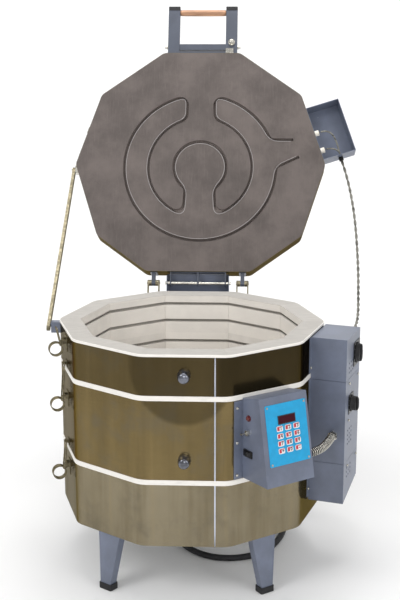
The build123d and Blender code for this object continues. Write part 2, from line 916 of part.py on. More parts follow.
# Flexible metal conduit between the control box and the middle terminal box
conduit_height = 403.0
conduit_start_reach = 436.0
conduit_end_reach = 428.0
conduit_nut = 9.0
conduit_crest = 11.0
conduit_valley = 9.2
conduit_bore = 8.0
conduit_ribs = 14

conduit_from = Vector(
    *face_point(panel_face, conduit_start_reach, panel_half_width + conduit_nut, conduit_height)
)
conduit_to = Vector(
    *face_point(box_face, conduit_end_reach, box_front - conduit_nut, conduit_height)
)
conduit_leave = Vector(*face_direction(panel_face, along=1))
conduit_arrive = Vector(*face_direction(box_face, along=1))
conduit_pull = 0.36 * (conduit_to - conduit_from).length


def conduit_plane(share):
    """The plane square to the conduit at a share of its length, with a steady x axis."""
    near = conduit_from + conduit_leave * conduit_pull
    far = conduit_to - conduit_arrive * conduit_pull
    rest = 1 - share
    point = (
        conduit_from * rest**3
        + near * (3 * rest**2 * share)
        + far * (3 * rest * share**2)
        + conduit_to * share**3
    )
    heading = (
        (near - conduit_from) * (3 * rest**2)
        + (far - near) * (6 * rest * share)
        + (conduit_to - far) * (3 * share**2)
    )
    return Plane(origin=point, x_dir=(0, 0, 1), z_dir=heading)


with BuildPart() as conduit:
    for rib in range(conduit_ribs):
        for part_of_rib, radius in (
            (0.0, conduit_valley),
            (0.3, conduit_crest),
            (0.7, conduit_crest),
            (1.0, conduit_valley),
        ):
            if part_of_rib == 0.0 and rib > 0:
                continue
            with BuildSketch(conduit_plane((rib + part_of_rib) / conduit_ribs)):
                Circle(radius)
    loft(ruled=True)
    for share in range(9):
        with BuildSketch(conduit_plane(share / 8)):
            Circle(conduit_bore)
    loft(ruled=True, mode=Mode.SUBTRACT)
conduit.part.label = "conduit"
export_step(conduit.part, "parts/conduit.step")

# The conduit's nuts and the screws on the outside of the covers
panel_screw_high = panel_high_inner - 25
panel_screw_low = panel_low_inner + 10
flange_screw_heights = (top_box_low + 33, middle_box_low + 58, bottom_box_low + 35)
middle_box_centre = (middle_box_low + middle_box_high) / 2
cover_screw_heights = (middle_box_high - 12, middle_box_centre, bottom_box_high - 13)

with BuildPart() as cover_fasteners:
    with BuildSketch(Plane(origin=conduit_from, x_dir=(0, 0, 1), z_dir=conduit_leave)):
        RegularPolygon(14, 6)
    extrude(amount=-conduit_nut)
    with BuildSketch(Plane(origin=conduit_to, x_dir=(0, 0, 1), z_dir=conduit_arrive)):
        RegularPolygon(14, 6)
    extrude(amount=conduit_nut)
    with BuildSketch(face_wall(panel_face, box_inner)):
        for along in (-panel_half_width - 18, panel_half_width + 18):
            with Locations((along, panel_screw_high), (along, 446), (along, panel_screw_low)):
                Circle(3.6)
    extrude(amount=2.2)
    with BuildSketch(on_panel(keypad_drop, keypad_thickness)):
        with Locations((keypad_shift, 0)):
            with GridLocations(keypad_width - 12, keypad_height - 12, 2, 2):
                Circle(3.0)
    extrude(amount=1.6)
    with BuildSketch(face_wall(box_face, box_inner)):
        for height in flange_screw_heights:
            with Locations((box_front - 6, height)):
                Circle(3.4)
    extrude(amount=2.2)
    with BuildSketch(face_wall(box_face, box_outer)):
        for height in cover_screw_heights:
            with Locations((box_front + 35, height), (box_back - 17, height)):
                Circle(3.4)
    extrude(amount=2.2)
cover_fasteners.part.label = "cover_fasteners"
export_step(cover_fasteners.part, "parts/cover_fasteners.step")

# Lid slab with the winding groove in its underside
ring_centre = (0, ring_centre_back)


def ring_point(radius, x, sign):
    """The point of a ring at an x, on its front (-1) or back (+1) half."""
    return (x, ring_centre_back + sign * (radius**2 - x**2) ** 0.5)


terminal_reach = 309.0
first_terminal_along = 12.0
second_terminal_along = 72.0
terminal_stub_reach = 398.0
first_terminal = face_point(box_face, terminal_reach, first_terminal_along, 0)[:2]
second_terminal = face_point(box_face, terminal_reach, second_terminal_along, 0)[:2]
first_stub = face_point(box_face, terminal_stub_reach, first_terminal_along, 0)[:2]
second_stub = face_point(box_face, terminal_stub_reach, second_terminal_along, 0)[:2]


def ring_arc(radius, start, end, through_angle):
    """An arc of a ring between two of its points, through a direction from its centre."""
    a = radians(through_angle)
    middle = (radius * cos(a), ring_centre_back + radius * sin(a))
    ThreePointArc(start, middle, end)


def nearest_vertices(path, points):
    """The vertices of a path that lie at the points."""
    spots = [Vector(*point) for point in points]
    return path.vertices().filter_by(
        lambda v: min((Vector(v.X, v.Y) - spot).length for spot in spots) < 1
    )


def winding(start, end):
    """The element's path: in, round the outer, middle and inner rings, and back out."""
    outer_in = ring_point(outer_ring_radius, 0.925 * outer_ring_radius, -1)
    outer_right = ring_point(outer_ring_radius, top_turn_half_gap, -1)
    middle_right = ring_point(middle_ring_radius, top_turn_half_gap, -1)
    middle_low_right = ring_point(middle_ring_radius, low_turn_half_gap, 1)
    inner_right = ring_point(inner_ring_radius, inner_turn_half_gap, 1)
    inner_left = ring_point(inner_ring_radius, -inner_turn_half_gap, 1)
    middle_low_left = ring_point(middle_ring_radius, -low_turn_half_gap, 1)
    middle_left = ring_point(middle_ring_radius, -top_turn_half_gap, -1)
    outer_left = ring_point(outer_ring_radius, -top_turn_half_gap, -1)
    outer_out = (outer_ring_radius, ring_centre_back)
    with BuildLine(mode=Mode.PRIVATE) as path:
        if start != first_terminal:
            Line(start, first_terminal)
        Line(first_terminal, outer_in)
        ring_arc(outer_ring_radius, outer_in, outer_right, -50)
        Line(outer_right, middle_right)
        ring_arc(middle_ring_radius, middle_right, middle_low_right, 0)
        Line(middle_low_right, inner_right)
        ring_arc(inner_ring_radius, inner_right, inner_left, -90)
        Line(inner_left, middle_low_left)
        ring_arc(middle_ring_radius, middle_low_left, middle_left, 180)
        Line(middle_left, outer_left)
        ring_arc(outer_ring_radius, outer_left, outer_out, 150)
        Line(outer_out, second_terminal)
        if end != second_terminal:
            Line(second_terminal, end)
        turns = [outer_right, middle_right, middle_low_right, inner_right]
        turns += [inner_left, middle_low_left, middle_left, outer_left]
        fillet(nearest_vertices(path, turns), turn_radius)
        bends = [first_terminal] if start != first_terminal else []
        bends += [outer_in, outer_out]
        bends += [second_terminal] if end != second_terminal else []
        fillet(nearest_vertices(path, bends), stub_radius)
    return path.line


lid_element_depth = 6.0

with BuildPart() as lid_slab:
    with BuildSketch(level_lid_plane(lid_bottom)):
        add(
            lid_outline(
                lid_apothem - band_thickness, lid_rear - band_thickness, lid_corner - band_thickness
            )
        )
    extrude(amount=lid_thickness)
    with BuildSketch(level_lid_plane(lid_bottom)):
        trace(lines=winding(first_terminal, second_terminal), line_width=lid_groove_width)
    extrude(amount=lid_groove_depth, mode=Mode.SUBTRACT)
    for along in (first_terminal_along, second_terminal_along):
        start = face_point(box_face, terminal_reach - 4, along, lid_bottom + lid_element_depth)
        outwards = face_direction(box_face, outwards=1)
        with BuildSketch(lid_plane(start, (0, 0, 1), outwards)):
            Circle(4.2)
        extrude(amount=lid_apothem - terminal_reach + 8, mode=Mode.SUBTRACT)
lid_slab.part.label = "lid_slab"
export_step(lid_slab.part, "parts/lid_slab.step")

with BuildPart() as lid_band:
    with BuildSketch(level_lid_plane(lid_bottom)):
        add(lid_outline(lid_apothem, lid_rear, lid_corner))
        add(
            lid_outline(
                lid_apothem - band_thickness, lid_rear - band_thickness, lid_corner - band_thickness
            ),
            mode=Mode.SUBTRACT,
        )
    extrude(amount=lid_thickness)
    for along in (first_terminal_along, second_terminal_along):
        start = face_point(box_face, lid_apothem - 5, along, lid_bottom + lid_element_depth)
        with BuildSketch(lid_plane(start, (0, 0, 1), face_direction(box_face, outwards=1))):
            Circle(4.2)
        extrude(amount=10, mode=Mode.SUBTRACT)
lid_band.part.label = "lid_band"
export_step(lid_band.part, "parts/lid_band.step")

with BuildPart() as lid_element:
    coil_plane = level_lid_plane(lid_bottom + lid_element_depth)
    coil_path = coil_plane.location * winding(first_stub, second_stub)
    stub = (first_stub[0], first_stub[1], lid_bottom + lid_element_depth)
    with BuildSketch(lid_plane(stub, (0, 0, 1), face_direction(box_face, outwards=-1))):
        Circle(element_radius)
    sweep(path=coil_path)
lid_element.part.label = "lid_element"
export_step(lid_element.part, "parts/lid_element.step")

# Terminal cover on the lid's edge, open underneath, with its bushings
lid_box_outer = 489.0
lid_box_front = -77.0
lid_box_back = 104.0
lid_box_low = lid_bottom + 1.0
lid_box_high = lid_bottom + 58.0
bushing_tube_radius = 9.0

with BuildPart() as lid_terminal_box:
    outwards = face_direction(box_face, outwards=1)
    back_end = face_point(box_face, 0, lid_box_back, 0)
    end_plane = lid_plane(back_end, outwards, face_direction(box_face, along=-1))
    with BuildSketch(end_plane):
        with Locations((lid_apothem, lid_box_low)):
            Rectangle(
                lid_box_outer - lid_apothem,
                lid_box_high - lid_box_low,
                align=(Align.MIN, Align.MIN),
            )
    extrude(amount=lid_box_back - lid_box_front)
    with BuildSketch(end_plane.offset(box_wall)):
        with Locations((lid_apothem + box_wall, lid_box_low)):
            Rectangle(
                lid_box_outer - lid_apothem - 2 * box_wall,
                lid_box_high - lid_box_low - box_wall,
                align=(Align.MIN, Align.MIN),
            )
    extrude(amount=lid_box_back - lid_box_front - 2 * box_wall, mode=Mode.SUBTRACT)
    for along in (first_terminal_along, second_terminal_along):
        start = face_point(box_face, lid_apothem - 1, along, lid_bottom + lid_element_depth)
        with BuildSketch(lid_plane(start, (0, 0, 1), outwards)):
            Circle(element_radius + 0.4)
        extrude(amount=box_wall + 2, mode=Mode.SUBTRACT)
lid_terminal_box.part.label = "lid_terminal_box"
export_step(lid_terminal_box.part, "parts/lid_terminal_box.step")

with BuildPart() as lid_bushings:
    for along in (first_terminal_along, second_terminal_along):
        start = face_point(
            box_face, lid_apothem + box_wall, along, lid_bottom + lid_element_depth + 3.5
        )
        element_at = face_point(
            box_face, lid_apothem + box_wall, along, lid_bottom + lid_element_depth
        )
        with BuildSketch(lid_plane(start, (0, 0, 1), outwards)):
            Circle(bushing_tube_radius)
        extrude(amount=13)
        with BuildSketch(lid_plane(element_at, (0, 0, 1), outwards)):
            Circle(element_radius + 0.1)
        extrude(amount=13, mode=Mode.SUBTRACT)
lid_bushings.part.label = "lid_bushings"
export_step(lid_bushings.part, "parts/lid_bushings.step")

# Handle on the front edge of the lid
front_edge = -lid_apothem
handle_middle = lid_bottom + 34.0
post_end = front_edge - handle_post_length
grip_y = post_end + grip_inset
post_x = handle_post_spacing / 2

with BuildPart() as handle_bracket:
    post_plane = lid_plane((0, front_edge, handle_middle), (1, 0, 0), (0, -1, 0))
    with BuildSketch(post_plane):
        Rectangle(handle_post_spacing + handle_post_width, 52)
    extrude(amount=2.5)
    with BuildSketch(post_plane):
        Rectangle(handle_post_spacing + handle_post_width, 26)
    extrude(amount=handle_foot_height)
    with BuildSketch(post_plane):
        with Locations((-post_x, 0), (post_x, 0)):
            Rectangle(handle_post_width, handle_post_depth)
            Rectangle(
                handle_post_width - 2 * handle_wall,
                handle_post_depth - 2 * handle_wall,
                mode=Mode.SUBTRACT,
            )
    extrude(amount=handle_post_length)
    with BuildSketch(post_plane.offset(crossbar_offset)):
        Rectangle(handle_post_spacing - handle_post_width, handle_post_depth - 6)
    extrude(amount=crossbar_height)
    grip_hole = lid_plane((0, grip_y, handle_middle), (0, 0, 1), (1, 0, 0))
    with BuildSketch(grip_hole):
        Circle(grip_tenon_radius)
    extrude(amount=post_x + handle_post_width, both=True, mode=Mode.SUBTRACT)
handle_bracket.part.label = "handle_bracket"
export_step(handle_bracket.part, "parts/handle_bracket.step")

with BuildPart() as handle_grip:
    with BuildSketch(grip_hole):
        Circle(grip_radius)
    extrude(amount=post_x - handle_post_width / 2, both=True)
    with BuildSketch(grip_hole):
        Circle(grip_tenon_radius)
    extrude(amount=post_x - handle_post_width / 2 + handle_wall, both=True)
handle_grip.part.label = "handle_grip"
export_step(handle_grip.part, "parts/handle_grip.step")

with BuildPart() as handle_caps:
    with BuildSketch(post_plane.offset(handle_post_length)):
        with Locations((-post_x, 0), (post_x, 0)):
            RectangleRounded(handle_post_width, handle_post_depth + 2, 3)
    extrude(amount=handle_cap_thickness)
    with BuildSketch(post_plane.offset(handle_post_length)):
        with Locations((-post_x, 0), (post_x, 0)):
            Rectangle(
                handle_post_width - 2 * handle_wall,
                handle_post_depth - 2 * handle_wall,
            )
    extrude(amount=-5)
handle_caps.part.label = "handle_caps"
export_step(handle_caps.part, "parts/handle_caps.step")

bolt_reach = 33.0
stud_offset = 46.0

with BuildPart() as lid_hardware:
    for side in (-1, 1):
        start = (side * (post_x + handle_post_width / 2), front_edge - bolt_reach, handle_middle)
        with BuildSketch(lid_plane(start, (0, 0, 1), (side, 0, 0))):
            RegularPolygon(6, 6)
        extrude(amount=5)
        with BuildSketch(lid_plane(start, (0, 0, 1), (side, 0, 0))):
            Circle(3)
        extrude(amount=11)
    stud = (post_x, front_edge - stud_offset, handle_middle - handle_post_depth / 2)
    with BuildSketch(lid_plane(stud, (1, 0, 0), (0, 0, -1))):
        Circle(11)
    extrude(amount=5)
    with BuildSketch(lid_plane(stud, (1, 0, 0), (0, 0, -1))):
        Circle(8)
    extrude(amount=16)
    fillet(faces().sort_by(Axis((0, 0, 0), lid_turn(0, 0, -1)))[-1].edges(), 6)
    barrel = (post_x - 6, front_edge - 12.5, handle_middle - 13)
    with BuildSketch(lid_plane(barrel, (1, 0, 0), (0, 0, -1))):
        Rectangle(25, 20)
    extrude(amount=8)
    hook_out = face_direction(latch_face, outwards=1)
    hook = lid_plane((0, 0, 0), hook_out, face_direction(latch_face, along=-1))
    with BuildSketch(hook):
        with Locations((lid_apothem, lid_bottom + 18)):
            Rectangle(latch_plate, 22, align=(Align.MIN, Align.CENTER))
        with Locations((lid_apothem, lid_bottom + 12)):
            Rectangle(4.6, 2, align=(Align.MIN, Align.CENTER))
    extrude(amount=10, both=True)
lid_hardware.part.label = "lid_hardware"
export_step(lid_hardware.part, "parts/lid_hardware.step")

# Hinge: a channel on the back of the barrel, a rod, and the leaf on the lid
hinge_centre = (0, hinge_behind_axis, hinge_height)
hinge_axis_right = Plane(origin=hinge_centre, x_dir=(0, 1, 0), z_dir=(1, 0, 0))
open_rear = lid_point(0, lid_rear, lid_bottom)
open_rear_slope = tan(radians(lid_open_angle - 90))
channel_top = open_rear[2] - (channel_back - open_rear[1]) * open_rear_slope - channel_top_gap


def back_section(x):
    """An upright plane across the hinge: x back from the axis, y up, z to the right."""
    return Plane(origin=(x, 0, 0), x_dir=(0, 1, 0), z_dir=(1, 0, 0))


with BuildPart() as hinge_channel:
    with BuildSketch(back_section(-channel_half_width)):
        Polygon(
            (jacket_apothem, upper_joint + half_strip + 6),
            (jacket_apothem + channel_wall, upper_joint + half_strip + 6),
            (jacket_apothem + channel_wall, channel_low),
            (channel_back, channel_low),
            (channel_back, channel_top),
            (channel_back - channel_wall, channel_top),
            (channel_back - channel_wall, channel_low + channel_wall),
            (jacket_apothem + channel_wall, channel_low + channel_wall),
            (jacket_apothem + channel_wall, rim - rim_strip_height - 1),
            (jacket_apothem, rim - rim_strip_height - 1),
            align=None,
        )
    extrude(amount=2 * channel_half_width)
    for x in (-channel_half_width, channel_half_width - channel_wall):
        with BuildSketch(back_section(x)):
            Polygon(
                (jacket_apothem + channel_wall, channel_low),
                (channel_back, channel_low),
                (channel_back, channel_top),
                (jacket_apothem + channel_wall + 6, channel_top),
                align=None,
            )
        extrude(amount=channel_wall)
    with BuildSketch(hinge_axis_right):
        Circle(rod_radius)
    extrude(amount=channel_half_width + 1, both=True, mode=Mode.SUBTRACT)
hinge_channel.part.label = "hinge_channel"
export_step(hinge_channel.part, "parts/hinge_channel.step")

leaf_half_width = 88.0
ear_thickness = 4.0
knuckle_half = 19.0
eye_half = 6.0
knuckle_gap = 0.3


def lid_back_section(x):
    """The closed lid's upright plane across the hinge, swung open."""
    return lid_plane((x, 0, 0), (0, 1, 0), (1, 0, 0))


def hinge_ear(x, thickness, eye_radius, pin_radius, low, high):
    """An ear from the lid's rear edge to an eye round the hinge axis."""
    with BuildPart() as piece:
        with BuildSketch(lid_back_section(x)):
            Polygon(
                (lid_rear, low),
                (hinge_behind_axis, hinge_height - eye_radius),
                (hinge_behind_axis, hinge_height + eye_radius),
                (lid_rear, high),
                align=None,
            )
            with Locations((hinge_behind_axis, hinge_height)):
                Circle(eye_radius)
                Circle(pin_radius + running_clearance, mode=Mode.SUBTRACT)
        extrude(amount=thickness)
    return piece.part


with BuildPart() as lid_hinge_straps:
    with BuildSketch(lid_back_section(-leaf_half_width)):
        with Locations((lid_rear, lid_bottom + 6)):
            Rectangle(strap_plate, lid_thickness - 12, align=(Align.MIN, Align.MIN))
    extrude(amount=2 * leaf_half_width)
    for x in (-leaf_half_width, -0.5 * ear_thickness, leaf_half_width - ear_thickness):
        add(hinge_ear(x, ear_thickness, ear_radius, rod_radius, lid_bottom + 6, hinge_height + 4))
    for side in (-1, 1):
        x = side * side_hinge_offset
        with BuildSketch(lid_back_section(x - 11)):
            with Locations((lid_rear, lid_bottom + 8)):
                Rectangle(strap_plate, lid_thickness - 16, align=(Align.MIN, Align.MIN))
        extrude(amount=22)
        add(
            hinge_ear(
                x - eye_half,
                2 * eye_half,
                side_knuckle_radius,
                side_pin_radius,
                lid_bottom + 10,
                lid_bottom + 34,
            )
        )
lid_hinge_straps.part.label = "lid_hinge_straps"
export_step(lid_hinge_straps.part, "parts/lid_hinge_straps.step")

bracket_width = 4.0

with BuildPart() as side_brackets:
    for side in (-1, 1):
        for start in (-knuckle_half, knuckle_half - bracket_width):
            x = side * side_hinge_offset + start
            with BuildSketch(back_section(x)):
                Polygon(
                    (300, channel_low),
                    (372, channel_low),
                    (hinge_behind_axis + side_knuckle_radius, hinge_height),
                    (hinge_behind_axis - side_knuckle_radius, hinge_height),
                    (jacket_apothem + 4, rim - rim_strip_height - 4),
                    (300, rim - rim_strip_height - 4),
                    align=None,
                )
            extrude(amount=bracket_width)
        for start in (-knuckle_half, eye_half + knuckle_gap):
            with BuildSketch(hinge_axis_right.offset(side * side_hinge_offset + start)):
                Circle(side_knuckle_radius)
            extrude(amount=knuckle_half - eye_half - knuckle_gap)
    with BuildSketch(Plane.XY.offset(channel_low - 10)):
        add(decagon(jacket_apothem, jacket_corner))
    extrude(amount=rim - channel_low, mode=Mode.SUBTRACT)
    with BuildSketch(hinge_axis_right):
        Circle(side_pin_radius)
    extrude(amount=side_hinge_offset + 2 * knuckle_half, both=True, mode=Mode.SUBTRACT)
side_brackets.part.label = "side_brackets"
export_step(side_brackets.part, "parts/side_brackets.step")

with BuildPart() as hinge_pins:
    with BuildSketch(hinge_axis_right):
        Circle(rod_radius)
    extrude(amount=channel_half_width + 5, both=True)
    for side in (-1, 1):
        with BuildSketch(hinge_axis_right.offset(side * side_hinge_offset - knuckle_half - 2)):
            Circle(side_pin_radius)
        extrude(amount=2 * knuckle_half + 4)
hinge_pins.part.label = "hinge_pins"
export_step(hinge_pins.part, "parts/hinge_pins.step")

# Slotted support arm: pivoted on the lid, sliding on a bolt beside the rim
arm_lid_height = lid_bottom + arm_lid_rise
arm_bolt_height = rim - arm_bracket_drop
arm_pin = lid_point(-arm_plane, arm_lid_y, arm_lid_height)
arm_reach = hypot(arm_pin[1], arm_pin[2] - arm_bolt_height)
arm_heading = (0, -arm_pin[1] / arm_reach, (arm_bolt_height - arm_pin[2]) / arm_reach)
closed_reach = hypot(arm_lid_y, arm_lid_height - arm_bolt_height)

with BuildPart() as arm_lug:
    lug_plane = lid_plane((-arm_plane + 0.3, arm_lid_y, arm_lid_height), (0, 1, 0), (1, 0, 0))
    with BuildSketch(lug_plane):
        RectangleRounded(28, 28, 4)
    extrude(amount=20)
    with BuildSketch(level_lid_plane(lid_bottom)):
        add(lid_outline(lid_apothem, lid_rear, lid_corner))
    extrude(amount=lid_thickness, mode=Mode.SUBTRACT)
    with BuildSketch(lug_plane):
        Circle(arm_pin_radius)
    extrude(amount=-arm_thickness - 0.6)
    with BuildSketch(lug_plane.offset(-arm_thickness - 0.6)):
        Circle(7)
    extrude(amount=-3)
arm_lug.part.label = "arm_lug"
export_step(arm_lug.part, "parts/arm_lug.step")

arm_frame = Plane(origin=(-arm_plane, arm_pin[1], arm_pin[2]), x_dir=arm_heading, z_dir=(-1, 0, 0))

with BuildPart() as support_arm:
    with BuildSketch(arm_frame):
        with Locations(((arm_reach + arm_end - arm_width / 2) / 2, 0)):
            SlotOverall(arm_reach + arm_end + arm_width / 2, arm_width)
        Circle(arm_pin_radius + running_clearance, mode=Mode.SUBTRACT)
        with Locations(((closed_reach + arm_reach) / 2, 0)):
            SlotCenterToCenter(arm_reach - closed_reach + 4, arm_slot, mode=Mode.SUBTRACT)
    extrude(amount=arm_thickness)
    with BuildSketch(arm_frame):
        with Locations(((arm_reach + arm_end - arm_width / 2) / 2, 0)):
            SlotOverall(
                arm_reach + arm_end + arm_width / 2 - 2 * arm_sheet, arm_width - 2 * arm_sheet
            )
    extrude(amount=arm_thickness - arm_sheet, mode=Mode.SUBTRACT)
support_arm.part.label = "support_arm"
export_step(support_arm.part, "parts/support_arm.step")

with BuildPart() as arm_bracket:
    with BuildSketch(Plane.XY.offset(arm_bolt_height - 20)):
        with Locations((-arm_plane + 3, 0)):
            RectangleRounded(40, 24, 3, align=(Align.MIN, Align.CENTER))
    extrude(amount=31)
    with BuildSketch(Plane.XY.offset(arm_bolt_height - 21)):
        add(decagon(jacket_apothem, jacket_corner))
    extrude(amount=33, mode=Mode.SUBTRACT)
    with BuildSketch(Plane(origin=(-arm_plane + 3, 0, arm_bolt_height), z_dir=(-1, 0, 0))):
        Circle(arm_pin_radius)
    extrude(amount=3 - plug_clearance)
arm_bracket.part.label = "arm_bracket"
export_step(arm_bracket.part, "parts/arm_bracket.step")

# Latches down the left side: a ring lever, a wire bail and a keeper for each joint
ring_reach = jacket_apothem + ring_stand_off
pivot_reach = ring_reach - 22.0
pivot_rise = 22.0
bail_arm = 12.0
bail_reach = pivot_reach + bail_arm * cos(pi / 4)
bail_rise = pivot_rise - bail_arm * sin(pi / 4)
latch_section = face_section(latch_face)


def latch_base(centre):
    """A base plate with two ears and the lever's pin."""
    with BuildPart() as piece:
        with BuildSketch(latch_section):
            with Locations((jacket_apothem, centre + 16)):
                Rectangle(latch_plate, 44, align=(Align.MIN, Align.CENTER))
        extrude(amount=16, both=True)
        for side in (-1, 1):
            ear = latch_section.offset(side * (lever_half_width + ear_gap + 1))
            with BuildSketch(ear):
                with Locations((jacket_apothem, centre + pivot_rise)):
                    Rectangle(
                        pivot_reach - jacket_apothem + 4, 12, align=(Align.MIN, Align.CENTER)
                    )
            extrude(amount=1, both=True)
        with BuildSketch(latch_section):
            with Locations((pivot_reach, centre + pivot_rise)):
                Circle(latch_pin_radius)
        extrude(amount=lever_half_width + ear_gap + 2, both=True)
    return piece.part


def latch_lever(centre):
    """A ring to pull on, with a hub on the pin and a hole for the bail."""
    with BuildPart() as piece:
        with BuildSketch(latch_section):
            with Locations((ring_reach, centre)):
                Circle(ring_outer_radius)
            with BuildSketch(mode=Mode.PRIVATE) as hub:
                with Locations((pivot_reach, centre + pivot_rise)):
                    Circle(5)
                with Locations((bail_reach, centre + bail_rise)):
                    Circle(4.6)
                make_hull()
            add(hub.sketch)
            with Locations((ring_reach, centre)):
                Circle(ring_outer_radius - ring_wall, mode=Mode.SUBTRACT)
            with Locations((bail_reach, centre + bail_rise)):
                Circle(4.6)
                Circle(bail_wire_radius + running_clearance, mode=Mode.SUBTRACT)
            with Locations((pivot_reach, centre + pivot_rise)):
                Circle(latch_pin_radius + running_clearance, mode=Mode.SUBTRACT)
        extrude(amount=lever_half_width, both=True)
    return piece.part


def bail(centre, end_reach, end_height):
    """A closed wire loop from the lever's hole to its far cross wire."""
    with BuildPart() as piece:
        start = Vector(*face_point(latch_face, bail_reach, 0, centre + bail_rise))
        end = Vector(*face_point(latch_face, end_reach, 0, end_height))
        along = Vector(*face_direction(latch_face, along=1))
        loop = Plane(origin=(start + end) / 2, x_dir=along, z_dir=along.cross(end - start))
        with BuildLine(loop) as wire:
            half = (end - start).length / 2
            Line((0, -half), (bail_half_width - 3, -half))
            JernArc((bail_half_width - 3, -half), (1, 0), 3, 90)
            Line((bail_half_width, 3 - half), (bail_half_width, half - 3))
            JernArc((bail_half_width, half - 3), (0, 1), 3, 90)
            Line((bail_half_width - 3, half), (3 - bail_half_width, half))
            JernArc((3 - bail_half_width, half), (-1, 0), 3, 90)
            Line((-bail_half_width, half - 3), (-bail_half_width, 3 - half))
            JernArc((-bail_half_width, 3 - half), (0, -1), 3, 90)
            Line((3 - bail_half_width, -half), (0, -half))
        with BuildSketch(Plane(origin=start, z_dir=along)):
            Circle(bail_wire_radius)
        sweep(path=wire.line)
    return piece.part


def keeper(height, base_reach):
    """A hook that the bail's cross wire lies behind."""
    with BuildPart() as piece:
        wire_at = base_reach + 8.5
        with BuildSketch(latch_section):
            with Locations((base_reach, height - 2)):
                Rectangle(latch_plate, 18, align=(Align.MIN, Align.CENTER))
            with Locations((base_reach, height - bail_wire_radius - 1.3)):
                Rectangle(13.5, 2, align=(Align.MIN, Align.CENTER))
            with Locations((wire_at + 3.2, height - bail_wire_radius - 2.3)):
                Rectangle(1.8, 2.6 + bail_wire_radius - 0.8, align=(Align.MIN, Align.MIN))
        extrude(amount=10, both=True)
    return piece.part


rim_latch = rim - latch_rim_drop
upper_latch = rim - latch_upper_drop
lower_latch = rim - latch_lower_drop
upper_keeper = upper_joint + upper_keeper_rise
lower_keeper = lower_joint + lower_keeper_rise
keeper_wire_reach = jacket_apothem + 8.5

with BuildPart() as latch_plates:
    add(latch_base(rim_latch))
    add(latch_base(upper_latch))
    add(latch_base(lower_latch))
    add(keeper(upper_keeper, jacket_apothem))
    add(keeper(lower_keeper, jacket_apothem))
latch_plates.part.label = "latch_plates"
export_step(latch_plates.part, "parts/latch_plates.step")

with BuildPart() as latch_lever_rim:
    add(latch_lever(rim_latch))
latch_lever_rim.part.label = "latch_lever_rim"
export_step(latch_lever_rim.part, "parts/latch_lever_rim.step")

with BuildPart() as latch_lever_upper:
    add(latch_lever(upper_latch))
latch_lever_upper.part.label = "latch_lever_upper"
export_step(latch_lever_upper.part, "parts/latch_lever_upper.step")

with BuildPart() as latch_lever_lower:
    add(latch_lever(lower_latch))
latch_lever_lower.part.label = "latch_lever_lower"
export_step(latch_lever_lower.part, "parts/latch_lever_lower.step")

with BuildPart() as latch_bail_rim:
    add(bail(rim_latch, lid_apothem + free_bail_reach, rim + free_bail_rise))
latch_bail_rim.part.label = "latch_bail_rim"
export_step(latch_bail_rim.part, "parts/latch_bail_rim.step")

with BuildPart() as latch_bail_upper:
    add(bail(upper_latch, keeper_wire_reach, upper_keeper))
latch_bail_upper.part.label = "latch_bail_upper"
export_step(latch_bail_upper.part, "parts/latch_bail_upper.step")

with BuildPart() as latch_bail_lower:
    add(bail(lower_latch, keeper_wire_reach, lower_keeper))
latch_bail_lower.part.label = "latch_bail_lower"
export_step(latch_bail_lower.part, "parts/latch_bail_lower.step")

# Lead between the lid's terminal cover and the top terminal box
gland_length = 12.0
gland_radius = 8.0
lid_gland_reach = 440.0
lid_gland_height = lid_bottom + 33.0
box_gland_reach = 432.0
box_gland_height = 655.0
along_box = face_direction(box_face, along=1)

with BuildPart() as lead_gland_lid:
    start = face_point(box_face, lid_gland_reach, lid_box_back, lid_gland_height)
    with BuildSketch(lid_plane(start, (0, 0, 1), along_box)):
        RegularPolygon(gland_radius, 6)
    extrude(amount=gland_length)
lead_gland_lid.part.label = "lead_gland_lid"
export_step(lead_gland_lid.part, "parts/lead_gland_lid.step")

with BuildPart() as cord_glands:
    start = face_point(box_face, box_gland_reach, box_back, box_gland_height)
    with BuildSketch(Plane(origin=start, x_dir=(0, 0, 1), z_dir=along_box)):
        RegularPolygon(gland_radius, 6)
    extrude(amount=gland_length)
    power_gland = face_point(box_face, cord_reach, box_back, cord_height)
    with BuildSketch(Plane(origin=power_gland, x_dir=(0, 0, 1), z_dir=along_box)):
        RegularPolygon(power_cord_radius + 7, 6)
    extrude(amount=10)
    with BuildSketch(Plane(origin=power_gland, x_dir=(0, 0, 1), z_dir=along_box).offset(10)):
        Circle(power_cord_radius + 4)
    extrude(amount=20)
cord_glands.part.label = "cord_glands"
export_step(cord_glands.part, "parts/cord_glands.step")


def tube(points, radii, radius, name):
    """A round tube along straight runs joined by tangent arcs, checked by its volume."""
    with BuildPart() as piece:
        with BuildLine() as run:
            FilletPolyline(*points, radius=radii)
        first = Vector(*points[0])
        with BuildSketch(Plane(origin=first, z_dir=Vector(*points[1]) - first)):
            Circle(radius)
        sweep(path=run.line)
        print(name, "length", round(run.wire().length, 1), "radii", [round(r, 1) for r in radii])
    return piece.part


def bend_radii(points, share=0.45):
    """For each corner, a share of its shorter run over the tangent of half its turn."""
    radii = []
    for before, corner, after in zip(points, points[1:], points[2:]):
        run_in = Vector(*corner) - Vector(*before)
        run_out = Vector(*after) - Vector(*corner)
        half_turn = radians(run_in.get_angle(run_out)) / 2
        radii.append(share * min(run_in.length, run_out.length) / tan(half_turn))
    return radii


lid_end_along = lid_box_back + gland_length
lid_end = lid_point(*face_point(box_face, lid_gland_reach, lid_end_along, lid_gland_height))
lid_exit = lid_turn(*along_box)
box_end = face_point(box_face, box_gland_reach, box_back + gland_length, box_gland_height)
lead_points = [
    box_end,
    (box_end[0] + 55 * along_box[0], box_end[1] + 55 * along_box[1], box_gland_height),
    (483, 128, 672),
    (489, 213, 713),
    (494, 297, 771),
    (494, 380, 845),
    (489, 452, 926),
    tuple(lid_end[i] + 62 * lid_exit[i] for i in range(3)),
    lid_end,
]

